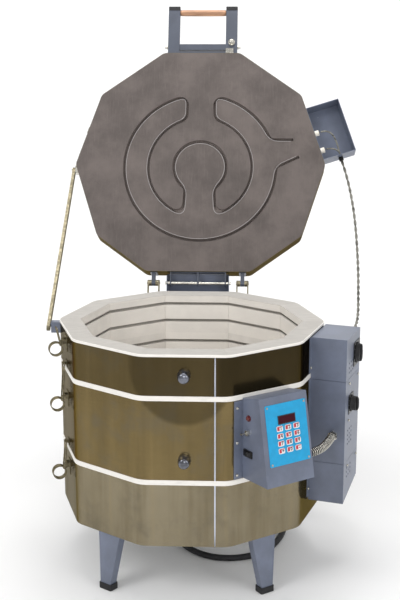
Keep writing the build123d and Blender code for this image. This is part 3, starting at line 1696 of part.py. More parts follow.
with BuildPart() as lid_lead:
    add(tube(lead_points, bend_radii(lead_points), lead_radius, "lid lead"))
lid_lead.part.label = "lid_lead"
export_step(lid_lead.part, "parts/lid_lead.step")

# Power cord: from its gland behind the bottom box, over the floor and back behind the kiln
cord_start = face_point(box_face, cord_reach, box_back + 30, cord_height)
cord_lie = power_cord_radius + 0.3
cord_points = [
    cord_start,
    (cord_start[0] + 80 * along_box[0], cord_start[1] + 80 * along_box[1], cord_height),
    (438, 190, 232),
    (365, 250, 165),
    (300, 226, 78),
    (280, 150, 22),
    (272, 60, cord_lie),
    (232, -50, cord_lie),
    (160, -112, cord_lie),
    (72, -118, cord_lie),
    (0, -70, cord_lie),
    (-48, 18, cord_lie),
    (-72, 120, cord_lie),
    (-66, 230, cord_lie),
    (-20, 330, cord_lie),
    (62, 396, cord_lie),
    (160, 420, cord_lie),
]

with BuildPart() as power_cord:
    add(tube(cord_points, bend_radii(cord_points), power_cord_radius, "power cord"))
power_cord.part.label = "power_cord"
export_step(power_cord.part, "parts/power_cord.step")

cord_end = Vector(*cord_points[-1])
plug_heading = (cord_end - Vector(*cord_points[-2])).normalized()
plug_plane = Plane(origin=cord_end, x_dir=(0, 0, 1), z_dir=plug_heading)
plug_collar = 3.0
plug_height = 46.0
plug_width = 52.0

with BuildPart() as plug_body:
    with BuildSketch(plug_plane):
        with Locations((plug_collar, 0)):
            Circle(power_cord_radius + plug_collar)
    extrude(amount=22)
    with BuildSketch(plug_plane.offset(20)):
        with Locations((plug_height / 2 - power_cord_radius, 0)):
            RectangleRounded(plug_height, plug_width, 10)
    extrude(amount=44)
    fillet(faces().sort_by(Axis((0, 0, 0), plug_heading))[-1].outer_wire().edges(), 3)
plug_body.part.label = "plug_body"
export_step(plug_body.part, "parts/plug_body.step")

with BuildPart() as plug_blades:
    with BuildSketch(plug_plane.offset(64)):
        with Locations((10, -13), (10, 13)):
            Rectangle(8, 2)
        with Locations((27, 0)):
            Circle(3)
    extrude(amount=21)
plug_blades.part.label = "plug_blades"
export_step(plug_blades.part, "parts/plug_blades.step")

arm_open = degrees(atan2(arm_pin[1], arm_pin[2] - arm_bolt_height))
arm_closed = degrees(atan2(arm_lid_y, arm_lid_height - arm_bolt_height))
print("arm turns with the lid by", round((arm_open - arm_closed) - lid_open_angle, 3), "degrees")
print("arm pin", [round(v, 3) for v in arm_pin], "reach", round(arm_reach, 2), round(closed_reach, 2))
print("latch pivot reach", pivot_reach, "bail reach", round(bail_reach, 3), "rise", round(bail_rise, 3))
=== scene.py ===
"""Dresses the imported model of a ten-sided electric kiln and sets it on a plain stage.

Laid out as an add-on and run as a script. Lengths are metres, in the model's own frame:
+Z up, the front at -Y, the origin on the floor under the barrel.
"""

import math

import bpy
import numpy as np
from bpy.props import FloatProperty, FloatVectorProperty, IntProperty, PointerProperty
from mathutils import Matrix, Vector


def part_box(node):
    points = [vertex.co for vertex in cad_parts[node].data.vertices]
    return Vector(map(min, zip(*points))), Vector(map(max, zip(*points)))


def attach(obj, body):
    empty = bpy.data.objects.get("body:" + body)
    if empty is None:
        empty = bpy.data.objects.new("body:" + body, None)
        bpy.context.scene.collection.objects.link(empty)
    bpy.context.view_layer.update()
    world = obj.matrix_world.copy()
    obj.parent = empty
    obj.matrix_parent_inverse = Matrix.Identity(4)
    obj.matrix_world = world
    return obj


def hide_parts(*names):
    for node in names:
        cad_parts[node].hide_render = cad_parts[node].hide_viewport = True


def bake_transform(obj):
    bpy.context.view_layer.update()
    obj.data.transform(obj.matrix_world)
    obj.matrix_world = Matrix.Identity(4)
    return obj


bl_info = {
    "name": "Electric kiln",
    "version": (1, 0, 0),
    "blender": (4, 5, 0),
    "location": "View3D > Sidebar > Kiln",
    "description": "Finishes and details for a top-loading electric kiln",
    "category": "Add Mesh",
}

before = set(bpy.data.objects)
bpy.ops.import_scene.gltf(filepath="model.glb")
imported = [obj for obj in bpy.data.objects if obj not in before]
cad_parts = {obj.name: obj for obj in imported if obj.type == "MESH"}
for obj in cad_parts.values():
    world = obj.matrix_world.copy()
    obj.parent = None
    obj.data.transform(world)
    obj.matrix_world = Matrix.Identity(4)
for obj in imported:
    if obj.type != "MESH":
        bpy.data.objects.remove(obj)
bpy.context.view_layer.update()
BODY = "kiln_body"
LID = "lid"
UP = np.array((0, 0, 1.0))

# Places that the solids share with this script: angles of sides in degrees, reaches square
# to a side from the barrel's axis, distances along a side and heights
SIDE_ANGLE = 36.0
FRONT_FACE = 0.0
PANEL_FACE = 36.0
BOX_FACE = 72.0
PLUG_REACH = 0.3843
PLUG_HEIGHTS = {"upper": 0.630, "lower": 0.399}
LAP_REACH = 0.3601
LAP_ALONG = 0.080
LAP_RIVETS = (0.19, 0.25, 0.31, 0.37, 0.42, 0.48, 0.53, 0.595, 0.66)
LOW_JOINT = 0.343
TOP_JOINT = 0.574
JOINT_BLUR = 0.003
CHAMBER_APOTHEM = 0.3012
GROOVE_DEPTH = 0.011
ELEMENT_HEIGHTS = (0.2580, 0.3110, 0.3735, 0.4265, 0.4890, 0.5420, 0.6070, 0.6600)
WALL_TAILS = (-0.012, 0.012)
WALL_TAIL_REACH = (0.3042, 0.380)
LID_TAILS = (0.012, 0.072)
LID_TAIL_REACH = (0.307, 0.398)
RIM = 0.686
FLANGE_REACH = 0.3637
COVER_REACH = 0.4629
TOGGLE_HEIGHT = 0.478
HINGE = np.array((0, 0.385, 0.706))
LID_OPEN = math.radians(115)
LID_BOTTOM = 0.6863
LID_TAIL_HEIGHT = LID_BOTTOM + 0.006
LID_GLAND_HEIGHT = 0.7193
GRIP_CENTRE = (0, -0.5354, 0.7203)


def colour(name, description, default):
    """A colour that a user can change."""
    return FloatVectorProperty(
        name=name, description=description, subtype="COLOR", size=3, min=0, max=1, default=default
    )


def length(name, description, default):
    """A length that a user can change."""
    return FloatProperty(name=name, description=description, unit="LENGTH", default=default)


class KilnSizes(bpy.types.PropertyGroup):
    """Sizes of the details."""

    coil_radius: length("Coil radius", "Radius of a heating coil", 0.0026)
    coil_wire: length("Coil wire", "Radius of the heating wire", 0.0007)
    coil_pitch: length("Coil pitch", "Distance between turns of a heating coil", 0.006)
    cord_diameter: length("Cord diameter", "Diameter of the power cord", 0.018)
    lead_strand: length("Lead strand", "Radius of one strand of the lid's lead", 0.0023)
    lead_pitch: length("Lead pitch", "Length of one twist of the lid's lead", 0.05)
    screw_head: length("Screw head", "Radius of a cover screw's head", 0.0038)
    knob_flutes: IntProperty(name="Knob flutes", description="Flutes round a knob", default=28)


class KilnColours(bpy.types.PropertyGroup):
    """Colours of the finishes."""

    paint: colour("Paint", "Covers, boxes and legs", (0.132, 0.153, 0.212))
    steel: colour("Jacket steel", "The barrel's jacket", (0.188, 0.140, 0.064))
    band: colour("Lid band", "The steel band round the lid", (0.16, 0.135, 0.08))
    brick: colour("Brick", "The chamber's firebricks", (0.75, 0.715, 0.665))
    lid_face: colour("Lid face", "The coated underside of the lid", (0.112, 0.094, 0.087))
    edging: colour("Edging", "The strips at the joints", (0.86, 0.83, 0.78))
    plated: colour("Plated steel", "Nuts, screws and the conduit's winding", (0.64, 0.62, 0.56))
    zinc: colour("Zinc", "The pan under the barrel", (0.50, 0.50, 0.49))
    wire: colour("Heating wire", "The coils in their grooves", (0.060, 0.056, 0.054))
    plug: colour("Peephole plug", "The ceramic plugs", (0.085, 0.09, 0.11))
    ceramic: colour("Insulator", "Bushings and terminal blocks", (0.74, 0.70, 0.62))
    rubber: colour("Rubber", "Feet, caps and the power cord", (0.012, 0.012, 0.014))
    plastic: colour("Black plastic", "Knobs, glands and the rocker", (0.008, 0.008, 0.009))
    wood: colour("Wood", "The lid's grip", (0.56, 0.30, 0.17))
    keypad: colour("Keypad", "The membrane of the control box", (0.0, 0.315, 0.60))
    display: colour("Display", "The window over the figures", (0.045, 0.002, 0.008))
    key_red: colour("Red print", "The marks on the keys", (0.50, 0.03, 0.05))
    key_black: colour("Black print", "The figures on the keys", (0.02, 0.022, 0.03))
    key_pale: colour("Pale key", "The keys", (0.78, 0.76, 0.76))
    # Painted highlight: the pale blue-grey of the jacket's lap strip and rivets stands for light
    # along the lap's edge
    bright: colour("Bright steel", "The jacket's lap", (0.42, 0.44, 0.50))
    greyed: colour("Greyed steel", "Duller patches on the jacket", (0.135, 0.120, 0.088))
    low_steel: colour("Lower jacket", "The steel of the lowest ring", (0.27, 0.235, 0.165))
    # Painted shade: the conduit's core is near black so the gaps between its winding's turns look
    # shaded
    conduit: colour("Conduit core", "The dark gaps of the conduit", (0.035, 0.034, 0.03))
    brass: colour("Aged plating", "Latches, side hinges and the arm", (0.30, 0.265, 0.18))
    # Painted highlight: the pale bead along one side of the lid's groove stands for its lit wall
    groove_edge: colour("Groove edge", "The chafed edge of the lid's groove", (0.42, 0.40, 0.40))
    sleeve: colour("Lead sleeve", "The lid lead's braid", (0.30, 0.29, 0.25))
    figures: colour("Figures", "Knob pointers and scale marks", (0.85, 0.87, 0.88))
    lamp: colour("Lamp", "The pilot lamp's lens", (0.11, 0.008, 0.008))
    board: colour("Board", "The controller board", (0.01, 0.10, 0.035))
    floor: colour("Floor", "The stage", (0.90, 0.90, 0.90))


def sizes():
    return bpy.context.scene.kiln_sizes


def colours():
    return bpy.context.scene.kiln_colours


# Places


def by_side(angle, out=0.0, along=0.0, up=0.0):
    """A place or direction from its parts square to a side of the barrel, along that side
    and upwards."""
    a = math.radians(angle)
    x = out * math.sin(a) + along * math.cos(a)
    y = -out * math.cos(a) + along * math.sin(a)
    return np.array((x, y, up))


def side_axes(angle):
    """The directions along a side of the barrel, upwards and out of it."""
    return by_side(angle, along=1), UP, by_side(angle, out=1)


def lid_turn(vectors):
    """Directions of the closed lid, swung open about X."""
    v = np.asarray(vectors, float)
    c, s = math.cos(-LID_OPEN), math.sin(-LID_OPEN)
    x, y, z = v[..., 0], v[..., 1], v[..., 2]
    return np.stack((x, y * c - z * s, y * s + z * c), -1)


def lid_point(points):
    """Points of the closed lid, swung open about the hinge."""
    return HINGE + lid_turn(np.asarray(points, float) - HINGE)


def unit(v):
    """Vectors brought to length one."""
    v = np.asarray(v, float)
    return v / np.linalg.norm(v, axis=-1, keepdims=True)


BOX_AXES = side_axes(BOX_FACE)
LID_UP = lid_turn(UP)


# Surfaces


def linked(name, data):
    """A new object of some data, in the scene."""
    obj = bpy.data.objects.new(name, data)
    bpy.context.scene.collection.objects.link(obj)
    return obj


def piece(name, shape, body, finish, smooth=True):
    """A mesh object in place from its (vertices, faces), riding on a body of the frame."""
    vertices, faces = shape
    mesh = bpy.data.meshes.new(name)
    mesh.from_pydata(np.asarray(vertices).tolist(), [], [list(map(int, f)) for f in faces])
    mesh.polygons.foreach_set("use_smooth", np.full(len(mesh.polygons), smooth))
    mesh.materials.append(finish_named(finish))
    mesh.update()
    obj = linked(name, mesh)
    if body:
        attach(obj, body)
    return obj


def net(rows, columns, closed):
    """Faces over a grid of points, with the columns joined round where it is closed."""
    i = np.arange(rows - 1)[:, None]
    j = np.arange(columns if closed else columns - 1)[None, :]
    k = (j + 1) % columns
    corners = (i * columns + j, i * columns + k, (i + 1) * columns + k, (i + 1) * columns + j)
    return np.stack(corners, -1).reshape(-1, 4)


def capped(rings, low, high):
    """A stack of rings of points, closed at each end by a fan to one point."""
    rows, sides = rings.shape[:2]
    j = np.arange(sides)
    k = (j + 1) % sides
    end = np.full(sides, rows * sides)
    last = (rows - 1) * sides
    faces = [*net(rows, sides, True), *np.stack((end, k, j), -1)]
    faces += [*np.stack((end + 1, last + j, last + k), -1)]
    return np.concatenate((rings.reshape(-1, 3), [low, high])), faces


def joined(shapes):
    """Several (vertices, faces) as one."""
    vertices, faces, start = [], [], 0
    for v, f in shapes:
        vertices.append(v)
        faces.extend([tuple(int(i) + start for i in face) for face in f])
        start += len(v)
    return np.concatenate(vertices), faces


def square_to(axis, guide, spare):
    """Two directions square to an axis, the first nearest a guide, or nearest a spare
    where the guide lies along the axis."""
    start = np.asarray(guide if abs(axis @ guide) < 0.9 else spare, float)
    side = unit(start - (start @ axis) * axis)
    return side, np.cross(axis, side)


def around(first, second, angles):
    """Directions cos u first + sin u second, one for each angle u."""
    return np.cos(angles)[..., None] * first + np.sin(angles)[..., None] * second


def turns(sides):
    """Even angles round a full turn."""
    return np.linspace(0, 2 * np.pi, sides, endpoint=False)


def tube(path, radius, sides, first_side):
    """A round tube: path + radius (cos u side + sin u normal), the side direction given at
    each point and made square to the path, with flat caps."""
    path = np.asarray(path, float)
    ahead = unit(np.gradient(path, axis=0))
    side = np.broadcast_to(np.asarray(first_side, float), path.shape)
    side = unit(side - (side * ahead).sum(-1, keepdims=True) * ahead)
    normal = np.cross(ahead, side)
    ring = around(side[:, None], normal[:, None], turns(sides)[None])
    last = (len(path) - 1) * sides
    faces = [*net(len(path), sides, True), range(sides)[::-1], range(last, last + sides)]
    return (path[:, None] + radius * ring).reshape(-1, 3), faces


def lathe(profile, origin, axis, sides=40, wave=0.0, waves=0):
    """A profile of (radius, height) turned about an axis; the radius takes a factor
    1 + wave cos(waves u) round the turn. Both ends have no radius and close in one point."""
    profile = np.asarray(profile, float)
    axis = unit(axis)
    u = turns(sides)
    turn = around(*square_to(axis, (1.0, 0, 0), UP), u) * (1 + wave * np.cos(waves * u))[:, None]
    radii, heights = profile[1:-1, :, None, None].swapaxes(0, 1)
    low, high = origin + profile[[0, -1], 1:] * axis
    return capped(origin + radii * turn + heights * axis, low, high)


def pad(centre, axes, half_width, half_height, thickness, power=6):
    """A domed pad: a superellipse |x|^p + |y|^p = 1 whose height falls as 1 - s^4 from its
    middle, on a short straight skirt."""
    right, up, out = axes
    rings, sides, skirt = 6, 40, 0.55
    c, s = np.cos(turns(sides)), np.sin(turns(sides))
    reach = (np.abs(c) ** power + np.abs(s) ** power) ** (-1 / power)
    share = np.linspace(1, 1 / rings, rings)
    lift = np.concatenate(([0.0], thickness * (skirt + (1 - skirt) * (1 - share**4))))
    share = np.concatenate(([1.0], share))[:, None, None]
    outline = (half_width * reach * c)[:, None] * right + (half_height * reach * s)[:, None] * up
    points = centre + share * outline + lift[:, None, None] * out
    return capped(points, centre, centre + thickness * out)


def screw_head(centre, axis, radius, turn):
    """A pan head whose height, in shares of its radius, is a dome crown (1 - droop s^4) less
    a cross-shaped recess near its middle."""
    axis = unit(axis)
    side, other = square_to(axis, UP, (1.0, 0, 0))
    rings, sides, crown, droop = 9, 32, 0.62, 0.75
    deep, slot, reach, blur = 0.34, 0.2, 0.66, 0.1
    u = turns(sides)
    share = np.linspace(1, 0.08, rings)[:, None]
    x, y = share * np.cos(u - turn), share * np.sin(u - turn)
    arm = np.minimum(np.abs(x), np.abs(y))
    recess = deep * np.clip((slot - arm) / blur, 0, 1) * np.clip((reach - share) / blur, 0, 1)
    height = radius * (crown * (1 - droop * share**4) - recess)
    flat = radius * around(side, other, u)[None]
    dome = share[..., None] * flat + height[..., None] * axis
    points = centre + np.concatenate((flat, dome))
    return capped(points, centre, centre + (crown - deep) * radius * axis)


def bar(centre, axes, width, height, thickness):
    """A flat bar with square ends."""
    right, up, out = axes
    corners = np.array([(-1, -1), (1, -1), (1, 1), (-1, 1)]) / 2
    low = centre + corners[:, :1] * width * right + corners[:, 1:] * height * up
    ends = [(3, 2, 1, 0), (4, 5, 6, 7)]
    return np.concatenate((low, low + thickness * out)), [*net(2, 4, True), *ends]


def even_path(points, step):
    """A line of points read again at even steps along its length."""
    points = np.asarray(points, float)
    gaps = np.linalg.norm(np.diff(points, axis=0), axis=1)
    along = np.concatenate(([0], np.cumsum(gaps)))
    wanted = np.linspace(0, along[-1], max(3, int(along[-1] / step) + 1))
    return np.stack([np.interp(wanted, along, points[:, i]) for i in range(3)], -1)


def softened(points, window, step):
    """A line whose corners are rounded by a moving average over a length, ends held."""
    points = even_path(points, step)
    half = max(1, int(window / step / 2))
    before = points[0] + (points[0] - points[1]) * np.arange(half, 0, -1)[:, None]
    after = points[-1] + (points[-1] - points[-2]) * np.arange(1, half + 1)[:, None]
    padded = np.concatenate((before, points, after))
    kernel = np.ones(2 * half + 1) / (2 * half + 1)
    return np.stack([np.convolve(padded[:, i], kernel, "valid") for i in range(3)], -1)


def bend(start, leave, arrive, end):
    """A cubic curve: (1-t)^3 start + 3 (1-t)^2 t leave + 3 (1-t) t^2 arrive + t^3 end."""
    t = np.linspace(0, 1, 80)[:, None]
    first = (1 - t) ** 3 * start + 3 * (1 - t) ** 2 * t * leave
    return first + 3 * (1 - t) * t**2 * arrive + t**3 * end


def rod(start, end, side):
    """A straight tail of heating wire between two points."""
    step, radius, sides = 0.01, 0.0025, 10
    return tube(even_path((start, end), step), radius, sides, side)


def coil(path, normal, radius, wire, pitch, steps=8, sides=4):
    """A wound wire: the path plus radius (cos w n + sin w b) with w growing one turn each
    pitch, n the given normal and b square to it and the path; then a tube round that."""
    line = even_path(path, pitch / steps)
    normal = np.broadcast_to(np.asarray(normal, float), line.shape)
    other = np.cross(unit(np.gradient(line, axis=0)), normal)
    out = around(normal, other, 2 * np.pi * np.arange(len(line)) / steps)
    return tube(line + radius * out, wire, sides, out)


def spline_curve(name, points, bevel):
    """A curve of one smooth spline through the hull of its points."""
    data = bpy.data.curves.new(name, "CURVE")
    data.dimensions = "3D"
    spline = data.splines.new("NURBS")
    spline.points.add(len(points) - 1)
    flat = np.concatenate((np.asarray(points, float), np.ones((len(points), 1))), axis=1)
    spline.points.foreach_set("co", flat.ravel())
    spline.order_u = 3
    spline.use_endpoint_u = True
    data.resolution_u = 16
    data.bevel_depth = bevel
    data.bevel_resolution = 6
    return linked(name, data)


def worked_out(obj):
    """The points and faces that a curve's or a text's object comes to."""
    bpy.context.view_layer.update()
    mesh = bpy.data.meshes.new_from_object(obj.evaluated_get(bpy.context.evaluated_depsgraph_get()))
    points = np.zeros(len(mesh.vertices) * 3)
    mesh.vertices.foreach_get("co", points)
    faces = [tuple(face.vertices) for face in mesh.polygons]
    bpy.data.meshes.remove(mesh)
    return points.reshape(-1, 3), faces


def figure(text, centre, axes, height):
    """A figure of the built-in letters as a flat mesh, standing just off its surface."""
    data = bpy.data.curves.new("figure", "FONT")
    data.body = text
    data.align_x = "CENTER"
    data.align_y = "CENTER"
    data.size = height
    data.extrude = 0.00008
    data.offset = 0.0004
    data.resolution_u = 3
    obj = linked("figure", data)
    flat, faces = worked_out(obj)
    bpy.data.objects.remove(obj)
    return centre + flat @ np.array(axes), faces


# Shader sums


def math_node(operation, swapped=False):
    """A method that adds one Math node over a value and another."""

    def method(value, other=0.0):
        pair = (other, value) if swapped else (value, other)
        settings = {"operation": operation}
        return value.finish.node("ShaderNodeMath", settings, dict(enumerate(pair)))

    return method


class Value:
    """A shader socket that can stand in Python sums."""

    __add__ = __radd__ = math_node("ADD")
    __sub__ = math_node("SUBTRACT")
    __rsub__ = math_node("SUBTRACT", swapped=True)
    __mul__ = __rmul__ = math_node("MULTIPLY")
    __abs__ = math_node("ABSOLUTE")
    floor = math_node("FLOOR")

    def __init__(self, finish, socket):
        self.finish = finish
        self.socket = socket

    def rise(self, low, high):
        """Goes smoothly from 0 at low to 1 at high; low may lie above high."""
        return self.finish.node(
            "ShaderNodeMapRange",
            {"interpolation_type": "SMOOTHSTEP"},
            {"Value": self, "From Min": low, "From Max": high},
        )


class Finish:
    """A material over one base colour, and the means to build its nodes. Its patterns read
    object coordinates in metres, so their scales are waves or cells in a metre."""

    def __init__(self, name, base):
        self.base = self.tint = base
        self.material = bpy.data.materials.new(name)
        self.material.use_nodes = True
        self.tree = self.material.node_tree
        self.tree.nodes.clear()
        self.place = self.node("ShaderNodeTexCoord", output="Object")

    def node(self, kind, settings=None, inputs=None, output=0):
        """A node of a kind: its settings first, then the values or links of its sockets."""
        made = self.tree.nodes.new(kind)
        for key, value in (settings or {}).items():
            setattr(made, key, value)
        for key, value in (inputs or {}).items():
            socket = made.inputs[key]
            if isinstance(value, Value):
                self.tree.links.new(value.socket, socket)
            elif socket.type == "RGBA" and len(value) == 3:
                socket.default_value = (*value, 1.0)
            else:
                socket.default_value = value
        return Value(self, made.outputs[output]) if made.outputs else None

    def parts(self, vector):
        """The three numbers of a vector."""
        split = self.node("ShaderNodeSeparateXYZ", None, {0: vector})
        return [Value(self, socket) for socket in split.socket.node.outputs]

    def noise(self, scale, detail, roughness=0.55, turn=(0, 0, 0)):
        """Cloudy noise from 0 to 1. Three scales stretch it along the axes, and it can turn."""
        vector = self.place
        if isinstance(scale, tuple):
            stretch = {"Vector": vector, "Scale": scale, "Rotation": turn}
            vector, scale = self.node("ShaderNodeMapping", None, stretch), 1.0
        inputs = {"Vector": vector, "Scale": scale, "Detail": detail, "Roughness": roughness}
        return self.node("ShaderNodeTexNoise", None, inputs)

    def cells(self, scale, output="Distance"):
        """Distance to the middle, or colour, of scattered cells."""
        inputs = {"Vector": self.place, "Scale": scale}
        return self.node("ShaderNodeTexVoronoi", None, inputs, output)

    def chance(self, number):
        """A tone from 0 to 1 that is another for each number."""
        return self.node("ShaderNodeTexWhiteNoise", {"noise_dimensions": "1D"}, {"W": number})

    def shade(self, factor):
        """The base colour made lighter or darker."""
        return tuple(min(1.0, c * factor) for c in self.base)

    def mix(self, mask, first, second):
        """Two colours mixed by a mask."""
        return self.node("ShaderNodeMix", {"data_type": "RGBA"}, {0: mask, 6: first, 7: second}, 2)

    def tones(self, mask, low, high):
        """Makes the tint go from one shade of the base colour to another."""
        self.tint = self.mix(mask, self.shade(low), self.shade(high))

    def cover(self, mask, over):
        """Lays a shade of the base colour, or another colour, over the tint by a mask."""
        over = self.shade(over) if isinstance(over, float) else over
        self.tint = self.mix(mask, self.tint, over)

    def bump(self, height, strength, distance):
        """A normal bent by a height."""
        inputs = {"Height": height, "Strength": strength, "Distance": distance}
        return self.node("ShaderNodeBump", None, inputs)

    def surface(self, clear=None, **values):
        """The shader over the tint; its names are those of its sockets with _ for a space.
        Where clear is given, the surface is see-through by that much."""
        inputs = {key.replace("_", " "): value for key, value in values.items()}
        inputs["Base Color"] = self.tint
        shader = self.node("ShaderNodeBsdfPrincipled", None, inputs)
        if clear is not None:
            gap = self.node("ShaderNodeBsdfTransparent")
            shader = self.node("ShaderNodeMixShader", None, {0: clear, 1: shader, 2: gap})
        self.node("ShaderNodeOutputMaterial", None, {"Surface": shader})
        return self.material


# Finishes


def steel_finish(f, roughness, sheen, edge=(1.0, 1.0, 1.0, 1.0)):
    """Rolled stainless: long streaks across the sheet, cloudy heat tint and faint smears.
    The edge colour is that of its grazing reflections."""
    streaks = f.noise((30, 30, 900), 4.0)
    smears = f.noise((9, 9, 2.4), 5.0, 0.65)
    f.tones(f.noise(3.2, 4.0, 0.6).rise(0.3, 0.72), 0.72, 1.35)
    f.cover(smears.rise(0.52, 0.8) * 0.45, 0.55)
    f.cover((streaks - 0.35) * 0.35, 1.6)
    return f.surface(
        Metallic=sheen,
        Roughness=roughness + (smears - 0.5) * 0.22 + (streaks - 0.5) * 0.12,
        Specular_Tint=edge,
        Normal=f.bump(streaks, 0.08, 0.0004),
    )


def jacket_finish(f):
    """The barrel's stainless, paler in the lowest ring, darker in the top ring and more so right
    of the lap, with a painted dark reflection in a half-round under the rim on the front,
    which is |6.6 x|^2 + |4.95 (0.70 - z)|^2 < 1."""
    x, y, z = f.parts(f.place)
    streaks = f.noise((30, 30, 900), 4.0)
    smears = f.noise((26, 26, 1.6), 4.0, 0.6)
    f.cover(z.rise(LOW_JOINT + JOINT_BLUR, LOW_JOINT - JOINT_BLUR), colours().low_steel)
    f.cover(f.noise(3.2, 4.0, 0.6).rise(0.3, 0.72) * 0.3, 0.3)
    f.cover(smears.rise(0.42, 0.72) * 0.36, 0.5)
    f.cover(smears.rise(0.44, 0.28) * 0.16, 1.9)
    f.cover((streaks - 0.35) * 0.3, 2.2)
    f.cover(f.noise(8.0, 5.0, 0.68).rise(0.47, 0.68) * 0.5, colours().greyed)
    top_ring = z.rise(TOP_JOINT - JOINT_BLUR, TOP_JOINT + JOINT_BLUR)
    f.cover(top_ring * (x.rise(0.07, 0.10) * 0.5 + 0.36), 0.12)
    # Painted dark reflection: the front faces darkened in a half-round under the rim
    across, down = x * 6.6, (0.70 - z) * 4.95
    dark_reflection = (across * across + down * down).rise(1.1, 0.93) * y.rise(-0.33, -0.35)
    f.cover(dark_reflection * 0.5, 0.16)
    return f.surface(
        Metallic=0.94,
        Roughness=0.2 + (smears - 0.5) * 0.16 + (streaks - 0.5) * 0.1,
        Specular_Tint=(0.30, 0.27, 0.20, 1.0),
        Normal=f.bump(streaks, 0.06, 0.0003),
    )


def brass_finish(f):
    """Yellowed plating, brighter in some patches and dark where grease has settled."""
    grease = f.noise(95.0, 4.0, 0.65)
    f.tones(grease.rise(0.4, 0.66), 0.55, 1.15)
    return f.surface(
        Metallic=0.95,
        Roughness=0.36 - (grease - 0.5) * 0.16,
        Specular_Tint=(0.45, 0.42, 0.34, 1.0),
        Normal=f.bump(f.noise(420.0, 3.0), 0.1, 0.0003),
    )


def paint_finish(f, shade):
    """Baked enamel: orange peel, faint mottling and a few small chips to grey primer."""
    f.base = f.shade(shade)
    mottle = f.noise(14.0, 4.0)
    chipped = f.noise(7.0, 2.0).rise(0.62, 0.7) * (0.06 - f.cells(46.0)).rise(0.0, 0.02)
    f.tones(mottle.rise(0.3, 0.75), 0.88, 1.14)
    f.cover(f.noise(90.0, 5.0, 0.7).rise(0.6, 0.85) * 0.25, 1.9)
    f.cover(chipped, (0.42, 0.42, 0.42))
    return f.surface(
        Roughness=0.42 + (mottle - 0.5) * 0.16 + chipped * 0.3,
        Coat_Weight=0.25,
        Coat_Roughness=0.25,
        Normal=f.bump(f.noise(420.0, 2.0) - chipped * 2.0, 0.12, 0.0004),
    )


def brick_finish(f):
    """Insulating firebrick: fine pores, a few larger pits, a change of tone from brick to brick
    round the barrel, from row to row and from board to board of the floor, and painted shade
    in streaks on the rim's top."""
    x, y, z = f.parts(f.place)
    # Round the barrel, up a metre of wall and across a metre of floor
    bricks, rows, boards = 10, 8.8, 8.75
    turn = f.node("ShaderNodeMath", {"operation": "ARCTAN2"}, {0: y, 1: x})
    number = (turn * (bricks / (2 * math.pi))).floor() + (z * rows).floor() * 17.0
    pores, pits = f.cells(620.0), f.cells(130.0)
    hearth = float(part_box("floor_slab")[1][2])
    f.tones(f.chance((x * boards).floor()), 0.94, 1.04)
    wall = z.rise(hearth + 0.0002, hearth + 0.0006)
    f.cover(wall, f.mix(f.chance(number), f.shade(0.9), f.shade(1.1)))
    f.cover(f.noise(16.0, 4.0).rise(0.35, 0.75) * 0.5, 1.16)
    f.cover((0.32 - pores).rise(0.0, 0.3) * 0.32 + (0.16 - pits).rise(0.0, 0.1) * 0.28, 0.52)
    # Painted shade: the rim's top face darkened, in streaks, so it is no brighter than the walls
    rim_shade = f.noise((22, 150, 22), 4.0, 0.6, (0, 0, 0.4))
    f.cover(z.rise(RIM - 0.0006, RIM - 0.0002) * (rim_shade * 0.5 + 0.5), 0.5)
    hollows = (0.3 - pores).rise(0.0, 0.3) * 0.5 + (0.16 - pits).rise(0.0, 0.1)
    return f.surface(
        Roughness=0.93, Normal=f.bump(f.noise(900.0, 2.0) * 0.35 - hollows, 0.5, 0.0006)
    )


def lid_finish(f):
    """The lid's coated refractory: blotches, sanding marks, fine grit, pin holes and a painted
    highlight that makes its groove paler deeper in."""
    marks = f.noise((260, 22, 22), 4.0, turn=(0.3, 0, 0.5))
    grit = f.noise(700.0, 2.0)
    holes = (0.14 - f.cells(210.0)).rise(0.0, 0.08)
    f.tones(f.noise(9.0, 6.0, 0.62).rise(0.3, 0.72), 0.8, 1.28)
    f.cover((marks - 0.5).rise(0.0, 0.25) * 0.3, 1.5)
    f.cover((grit - 0.5).rise(0.0, 0.3) * 0.3, 1.7)
    f.cover(holes * 0.7, 0.4)
    # Painted highlight: deeper than about 1.2 mm into the groove the coating turns paler, for light
    # on the groove's walls
    face = float(lid_point((0, 0, LID_BOTTOM)) @ LID_UP)
    both = {0: f.place, 1: tuple(LID_UP)}
    depth = f.node("ShaderNodeVectorMath", {"operation": "DOT_PRODUCT"}, both, "Value")
    f.cover((depth - face).rise(0.0012, 0.003) * 0.8, 2.6)
    return f.surface(
        Roughness=0.9, Normal=f.bump(grit * 0.4 + marks * 0.3 - holes, 0.4, 0.0006)
    )


def edging_finish(f):
    """Pale satin trim with a little grime along it."""
    grime = f.noise((30, 30, 260), 5.0, 0.65)
    f.cover(grime.rise(0.48, 0.8) * 0.5, 0.62)
    return f.surface(Roughness=0.4 + grime * 0.2, Metallic=0.15)


def plated_finish(f):
    """Bright plated steel, slightly yellow, with fine wear."""
    wear = f.noise(160.0, 4.0, 0.6)
    f.tones(f.noise(30.0, 3.0).rise(0.3, 0.75), 0.78, 1.2)
    return f.surface(
        Metallic=1.0,
        Roughness=0.16 + wear.rise(0.4, 0.8) * 0.22,
        Normal=f.bump(wear, 0.06, 0.0003),
    )


def zinc_finish(f):
    """Zinc-dipped sheet: angular spangles of slightly different grey."""
    spangle = f.parts(f.cells(90.0, "Color"))[0]
    dull = f.noise(40.0, 4.0)
    f.tones(spangle, 0.78, 1.22)
    f.cover(dull.rise(0.5, 0.8) * 0.4, 0.6)
    return f.surface(
        Metallic=0.85, Roughness=0.34 + spangle * 0.16, Normal=f.bump(dull, 0.08, 0.0004)
    )


